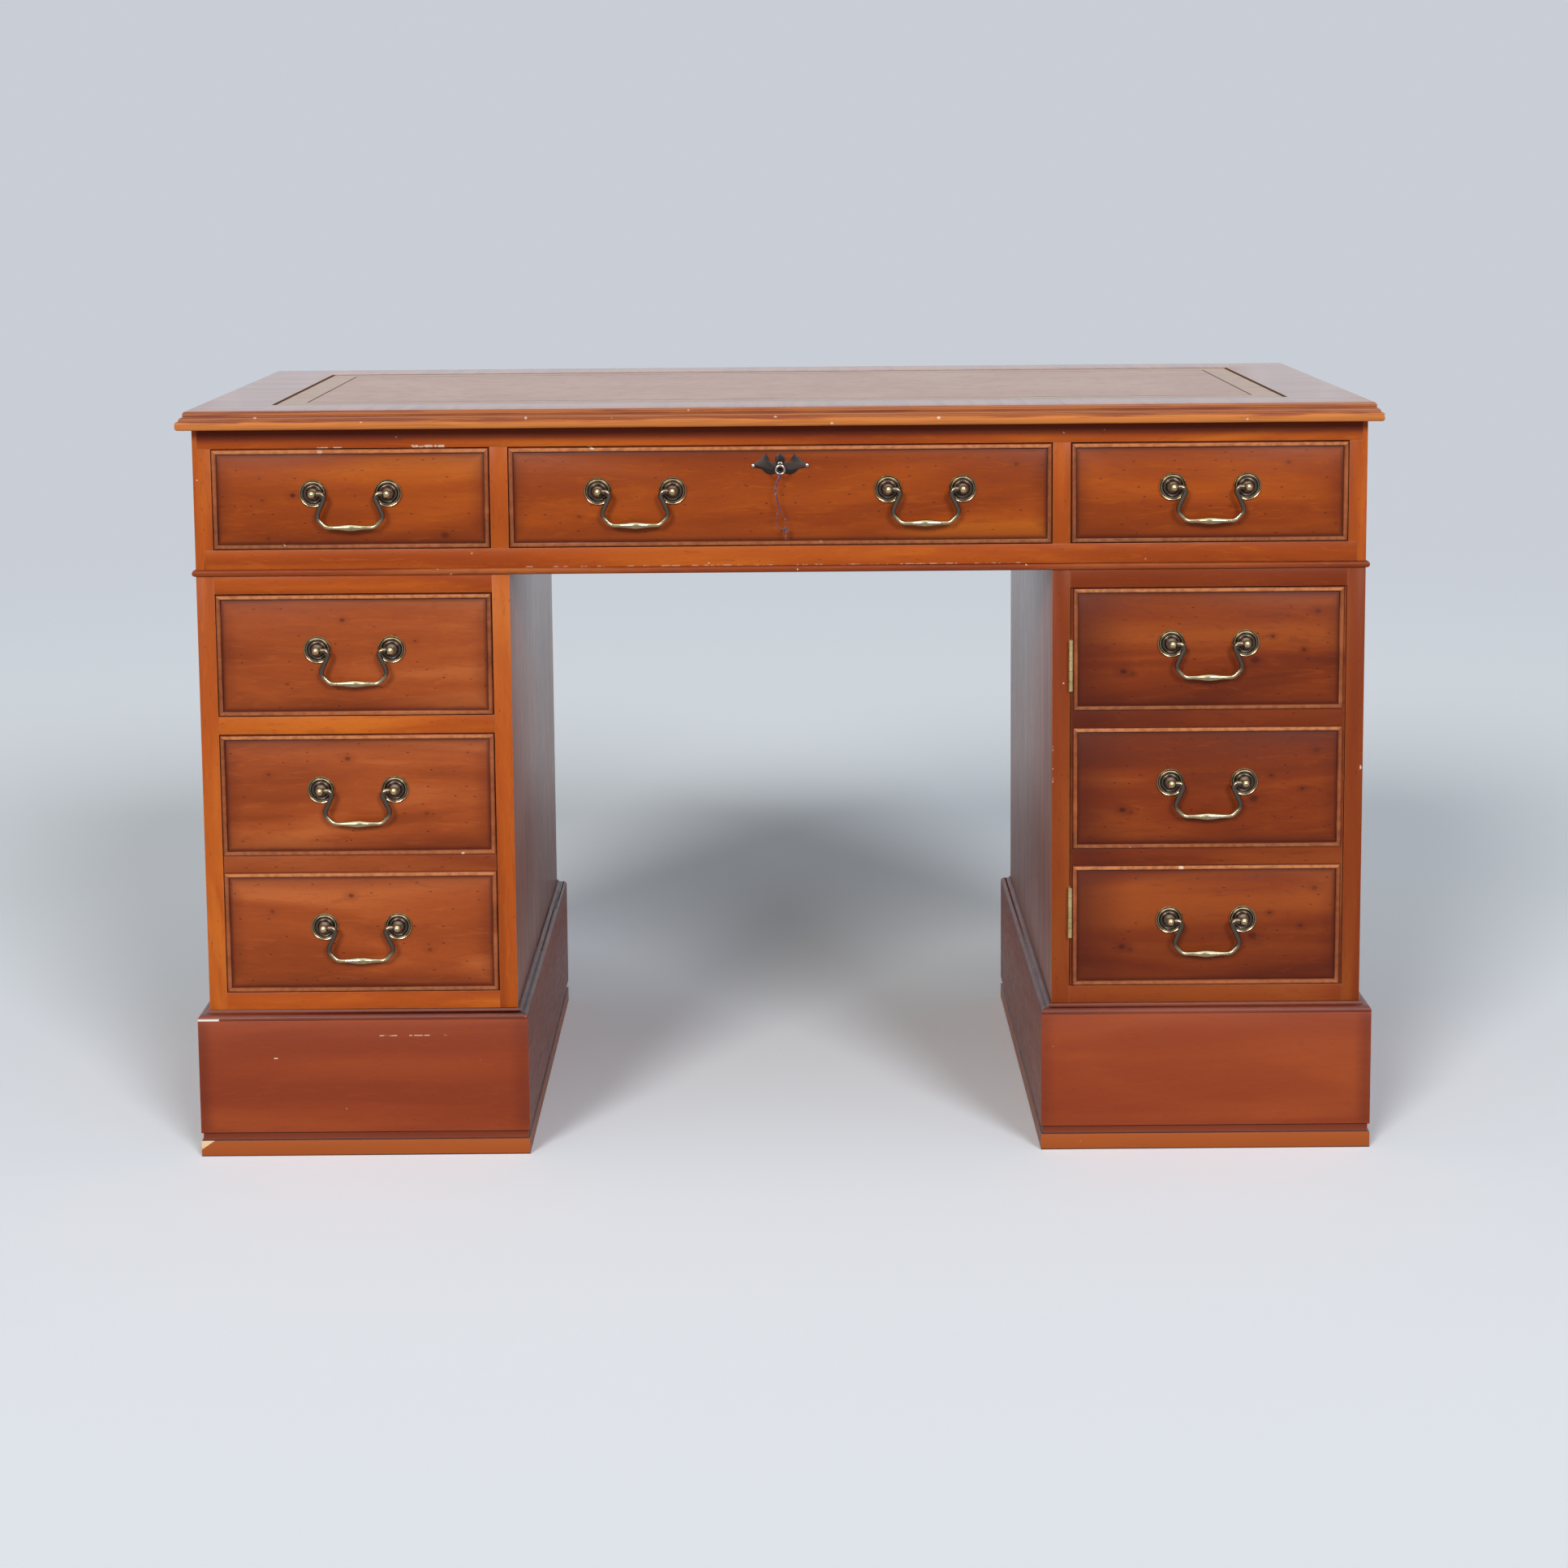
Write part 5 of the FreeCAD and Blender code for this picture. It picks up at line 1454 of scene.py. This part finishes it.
@dataclass
class LockAndKey:
    """The bat-wing plate with its nails, and the key in the lock."""

    plate_ease: float = 0.45 * MM
    # Along the axis in mm, radius as a share of the nail's own, polish
    nail_dome: tuple = ((0.0, 1.0, 0.4), (0.5, 1.0, 0.7), (1.0, 0.88, 1.0), (1.5, 0.66, 1.0),
                        (1.9, 0.25, 1.0))
    bow_outer: float = 5.5 * MM
    bow_inner: float = 3.3 * MM
    bow_thickness: float = 2.0 * MM
    shank_mm: float = 2.0
    collar_mm: float = 3.1
    bit_sizes_mm: tuple = (1.8, 3.0, 4.8)
    bit_drop: float = 3.6 * MM

    def plate(self, finish: bpy.types.Material) -> None:
        """Bevels the rim of the plate, so that it catches the light as a cast one does.

        Args:
            finish: The plate's material.
        """
        piece = eased_copy("escutcheon", "escutcheon_cast", self.plate_ease, least=0.2 * MM)
        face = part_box("escutcheon")[0].y
        # The rim is painted bright metal: partly rubbed brass, partly a painted glint
        mark_polish(piece, lambda at: 0.0 if at.y < face + 0.1 * MM else 0.9)
        settle(piece, finish, "centre_drawer", "bronze", ["escutcheon"], 30.0)

    def nails(self, finish: bpy.types.Material) -> None:
        """Turns the two domed nails of the plate.

        Args:
            finish: The nails' material.
        """
        low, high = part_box("escutcheon_pins")
        radius = (high.z - low.z) / 2
        dome = [(along, radius / MM * share, shine) for along, share, shine in self.nail_dome]
        nails = []
        for x in (low.x + radius, high.x - radius):
            nail = turned("plate_nail", dome, 20)
            at = Vector((x, low.y + dome[-1][0] * MM, (low.z + high.z) / 2))
            nail.data.transform(Matrix.Translation(at) @ FORWARD)
            nails.append(nail)
        settle(joined(nails, "plate_nails"), finish, "centre_drawer", "antique_brass",
               ["escutcheon_pins"], 50.0)

    def key(self, finish: bpy.types.Material) -> None:
        """Casts the key: a round bow on a turned shank with a collar, and the bit inside the lock.

        Args:
            finish: The key's material.
        """
        low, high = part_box("key")
        wide, wire = self.bow_outer + self.bow_inner, self.bow_outer - self.bow_inner
        axis_z = high.z - self.collar_mm * MM
        middle_y = low.y + self.bow_thickness / 2
        bow = begin("key_bow", bpy.ops.mesh.primitive_torus_add, major_segments=40, minor_segments=14,
                    major_radius=wide / 2, minor_radius=wire / 2,
                    location=(0, middle_y, axis_z - wide / 2), rotation=(math.radians(90), 0, 0))
        bow.scale = (1, 1, self.bow_thickness / wire)
        settle_place()
        mark_polish(bow, lambda at: 1.0)
        reach, full, least = (high.y - middle_y) / MM, self.collar_mm, self.collar_mm - 0.5
        shank = turned("key_shank", [(0, self.shank_mm - 0.4, 0.3), (0.6, self.shank_mm, 0.4),
                                     (reach, self.shank_mm, 0.1)], 24)
        collar = turned("key_collar", [(8.2, least, 0.3), (8.6, full, 0.6), (9.3, full, 0.6),
                                       (9.7, least, 0.3)], 28)
        for part in (shank, collar):
            part.data.transform(Matrix.Translation((0, middle_y, axis_z)) @ FORWARD.inverted())
        bit = begin("key_bit", bpy.ops.mesh.primitive_cube_add, size=1,
                    location=(0, high.y - self.bit_sizes_mm[1] / 2 * MM, axis_z - self.bit_drop))
        bit.scale = [size * MM for size in self.bit_sizes_mm]
        settle_place()
        with editing(bit):
            bpy.ops.mesh.bevel(offset=0.25 * MM, segments=2, affect="EDGES")
        mark_polish(bit, lambda at: 0.2)
        settle(joined([bow, shank, collar, bit], "key_cast"), finish, "key", "bronze", ["key"], 40.0)

    def build(self, finishes: dict[str, bpy.types.Material]) -> None:
        """Builds the plate, its nails and the key.

        Args:
            finishes: The shared materials.
        """
        self.plate(finishes["bronze"])
        self.nails(finishes["nail"])
        self.key(finishes["bronze"])


@dataclass
class Hinges:
    """The two brass butt hinges of the door, with round knuckles."""

    knuckles: int = 5
    length: float = 53.0
    gap: float = 0.3
    radius: float = 2.5
    ease: float = 0.25

    def build(self, joint: dict, finish: bpy.types.Material) -> None:
        """Models the leaves and knuckles of both sides.

        Args:
            joint: The door's hinge joint.
            finish: The brass's material.
        """
        axis = Vector(joint["pos_m"])
        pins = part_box("hinge_pins")
        lows = (pins[0].z / MM, pins[1].z / MM - self.length)
        pitch = self.length / self.knuckles
        for first, (node, body) in enumerate((("hinge_frame_leaves", "desk"), ("hinge_door_leaves", "door"))):
            leaves = eased_copy(node, node + "_plates", 0.15 * MM, least=6 * MM)
            parts = [leaves]
            for low in lows:
                for slot in range(first, self.knuckles, 2):
                    start = low + pitch * slot + self.gap / 2
                    end = low + pitch * (slot + 1) - self.gap / 2
                    full, less = self.radius, self.radius - self.ease
                    shape = [(start, less, 0.3), (start + self.ease, full, 0.6),
                             (end - self.ease, full, 0.6), (end, less, 0.3)]
                    knuckle = turned("hinge_knuckle", shape, 24)
                    knuckle.data.transform(Matrix.Translation((axis.x, axis.y, 0)))
                    parts.append(knuckle)
            settle(joined(parts, node + "_formed"), finish, body, "hinge_brass", [node], 40.0)


def build_finishes() -> dict[str, bpy.types.Material]:
    """Makes the finishes that several pieces share.

    Returns:
        The materials by a short name.
    """
    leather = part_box("leather_inset")[1]
    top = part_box("writing_top")[1]
    pale, shadow_and_dark_end = BARE_WOOD, "#5E1F10"
    right_foot = StainAndShade((0.28, 0.61), (0.14, 0.611), "#64230F", 0.62, 1.5 * MM)
    recipes = {
        "rail": Veneer("yew rail, satin lacquer", "#8A350C", "#AE5015", "#CA6C20", Grain.LEVEL, 3.1, 0.4,
                       chips=0.02, stains=(
                           right_foot,
                           # Painted shadow of the top's overhang across the upper part of the top rail
                           StainAndShade(EVERY_X, (0.7455, 0.762), shadow_and_dark_end, 0.8, 4.5 * MM),
                           StainAndShade((-0.385, -0.34), (0.7388, 0.7412), pale, 0.75, 0.5 * MM, True),
                           StainAndShade((-0.47, -0.44), (0.7386, 0.7398), pale, 0.6, 0.4 * MM, True),
                           StainAndShade((-0.26, 0.25), (0.6150, 0.6161), pale, 0.5, 0.3 * MM, True))),
        "stile": Veneer("yew stile, satin lacquer", "#8A380D", "#B05217", "#C86C24", Grain.UPRIGHT, 5.7, 0.5,
                        chips=0.02, stains=(
                            replace(right_foot, x=(0.27, 0.61)),
                            StainAndShade((0.2766, 0.2785), (0.385, 0.425), pale, 0.8, 0.3 * MM, True),
                            StainAndShade((0.594, 0.598), (0.395, 0.418), pale, 0.8, 0.3 * MM, True))),
        "side": Veneer("yew panel, satin lacquer", "#70301A", "#92482A", "#AA5E3C", Grain.UPRIGHT, 8.3, 0.5,
                       specular=0.5, coat=0.5),
        "waist": Veneer("yew moulding, satin lacquer", "#6A2810", "#8E3E18", "#AE5E2A", Grain.LEVEL, 1.9, 0.0,
                        chips=0.12),
        "plinth": Veneer("yew plinth, satin lacquer", "#74280E", "#8E3A15", "#A64E20", Grain.LEVEL, 6.4, 0.25,
                         contrast=0.6, chips=0.015, specular=0.3, coat=0.1,
                         corner_chip=(-0.608, 0.013), stains=(
                             # Darker towards both ends of each plinth front
                             StainAndShade((-0.612, -0.598), (0.026, 0.145), shadow_and_dark_end, 0.55, 8 * MM),
                             StainAndShade((-0.280, -0.262), (0.026, 0.145), shadow_and_dark_end, 0.35, 9 * MM),
                             StainAndShade((0.262, 0.276), (0.026, 0.145), shadow_and_dark_end, 0.3, 8 * MM),
                             StainAndShade((0.596, 0.612), (0.026, 0.145), shadow_and_dark_end, 0.5, 8 * MM),
                             StainAndShade(EVERY_X, (0.0, 0.017), "#A8561C", 0.7),
                             # Painted contact shadow along the foot of the plinth
                             StainAndShade(EVERY_X, (-0.001, 0.0012), "#241009", 0.8),
                             # Painted shade in the plinth's groove: a darker band, with dark lines at its top
                             # and bottom edges
                             StainAndShade(EVERY_X, (0.0172, 0.0248), "#5A2416", 0.5),
                             StainAndShade(EVERY_X, (0.0241, 0.0257), "#1C0906", 0.8),
                             StainAndShade(EVERY_X, (0.0166, 0.0179), "#1C0906", 0.65),
                             StainAndShade((-0.530, -0.526), (0.1040, 0.1052), pale, 0.8, 0.2 * MM),
                             StainAndShade((-0.42, -0.35), (0.1275, 0.1285), pale, 0.6, 0.3 * MM, True))),
        "skirting": Veneer("yew plinth moulding", "#4F1E14", "#6C2C1A", "#8A4226", Grain.LEVEL, 6.4, 0.0,
                           chips=0.06, worn_tone="#A56552", specular=0.4, stains=(
                               StainAndShade((-0.608, -0.586), (0.1446, 0.1468), "#F1E9E2", 0.95, 0.3 * MM),)),
        "bead": Veneer("beech cock bead, stained", "#461A0E", "#763218", "#9A5230", Grain.LEVEL, 2.2, 0.0,
                       chips=0.03, worn_tone="#C87E4C", worn_share=1.0),
        "top": TopVeneer("yew crossbanding, satin lacquer", "#9A522C", "#C07448", "#CE8C66", leather.x, top.z,
                         "#94421C", "#CC7634"),
        "hide": Hide("skiver leather, waxed", "#BA8264", "#CA9A7C", "#94604A", "#C09C66", "#41242A",
                     leather.x, leather.y, 32 * MM),
        "brass": AgedBrass("cast brass, antique patina", "#64564F", "#D6C79A"),
        "bronze": AgedBrass("cast brass, black patina", "#443C39", "#D2C8B8", 0.3, 0.2, 0.9),
        "nail": AgedBrass("plated nail head", "#8A837B", "#E6E0D8", 0.3, 0.15),
        "hinge": BrushedMetal("rolled brass", "#E2C890", "#A89464"),
        "steel": BrushedMetal("plated steel", "#8E8D8A", "#6A6864"),
        "timber": PlainTimber("drawer pine, plain", "#CDB088", "#B4925F"),
        "string": CottonYarn("cotton string, dyed", "#6E4E68", "#A68CA2", "#412B3E"),
    }
    return {name: recipe.build() for name, recipe in recipes.items()}


def front_veneers() -> dict[str, Veneer]:
    """Gives each front its own sheet of veneer.

    Returns:
        The veneers by front.
    """
    orange = ("#7C300B", "#A44A12", "#BD6218")
    rosy = ("#783110", "#A04B1F", "#B96331")
    dark = ("#58200E", "#823511", "#A04E1C")
    leaf = ((-87, -23, 3.0, 1.0), (-78, -26, 2.0, 0.5), (48, -12, 4.2, 0.8), (112, 38, 3.0, 0.6),
            (66, 12, 1.8, 0.8), (98, -2, 1.8, 0.9))
    return {
        "left_drawer": Veneer("yew, left drawer", *orange, Grain.LEVEL, 11.3, knots=(
            (-59, 4, 2.6, 1.0), (-90, -1, 2.0, 0.5), (95, -38, 4.0, 0.7), (-85, -40, 1.6, 0.6))),
        "centre_drawer": Veneer("yew, middle drawer", *orange, Grain.LEVEL, 14.9, knots=(
            (240, 30, 2.4, 0.6), (-205, -20, 2.2, 0.5))),
        "right_drawer": Veneer("yew, right drawer", *orange, Grain.LEVEL, 17.2, knots=((80, 30, 2.2, 0.5),)),
        "upper_drawer": Veneer("yew, upper drawer", *rosy, Grain.LEVEL, 21.6, knots=(
            (-12, 36, 2.2, 0.8), (62, 14, 1.8, 0.6), (-70, -30, 1.8, 0.5))),
        "file_drawer": Veneer("yew, file drawer", *rosy, Grain.LEVEL, 25.8, knots=(
            (-10, 38, 2.6, 0.8), (-92, 22, 2.0, 0.6), (70, -20, 2.2, 0.5))),
        "door": Veneer("yew, cupboard door", *dark, Grain.LEVEL, 31.4, 0.9, knots=leaf, stains=(
            StainAndShade((0.28, 0.34), (0.17, 0.6), "#4E1A0E", 0.6, 30 * MM),
            StainAndShade((0.28, 0.6), (0.165, 0.24), "#4E1A0E", 0.35, 40 * MM))),
    }


def dress_node(frame: dict, node: str, finish: bpy.types.Material) -> None:
    """Gives a CAD node that stays as it is its finish."""
    frame["nodes"][node].data.materials.clear()
    frame["nodes"][node].data.materials.append(finish)


def main() -> None:
    """Builds the desk's looks round its frame."""
    logging.basicConfig(level=logging.INFO, format="%(message)s")
    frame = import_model()
    studio = Studio()
    studio.camera()
    finishes = build_finishes()
    KeyString().build(finishes["string"])
    studio.build()
    Carcass().build(finishes)
    Fronts().build(front_veneers(), finishes["bead"])
    Handles().build(frame["joints"], finishes["brass"])
    LockAndKey().build(finishes)
    hinge = next(joint for joint in frame["joints"] if joint["name"] == "door_hinge")
    Hinges().build(hinge, finishes["hinge"])
    for node, finish in (("leather_inset", "hide"), ("hinge_pins", "hinge"), ("lock_case", "steel"),
                         ("lock_bolt", "steel")):
        dress_node(frame, node, finishes[finish])


if __name__ == "__main__":
    main()
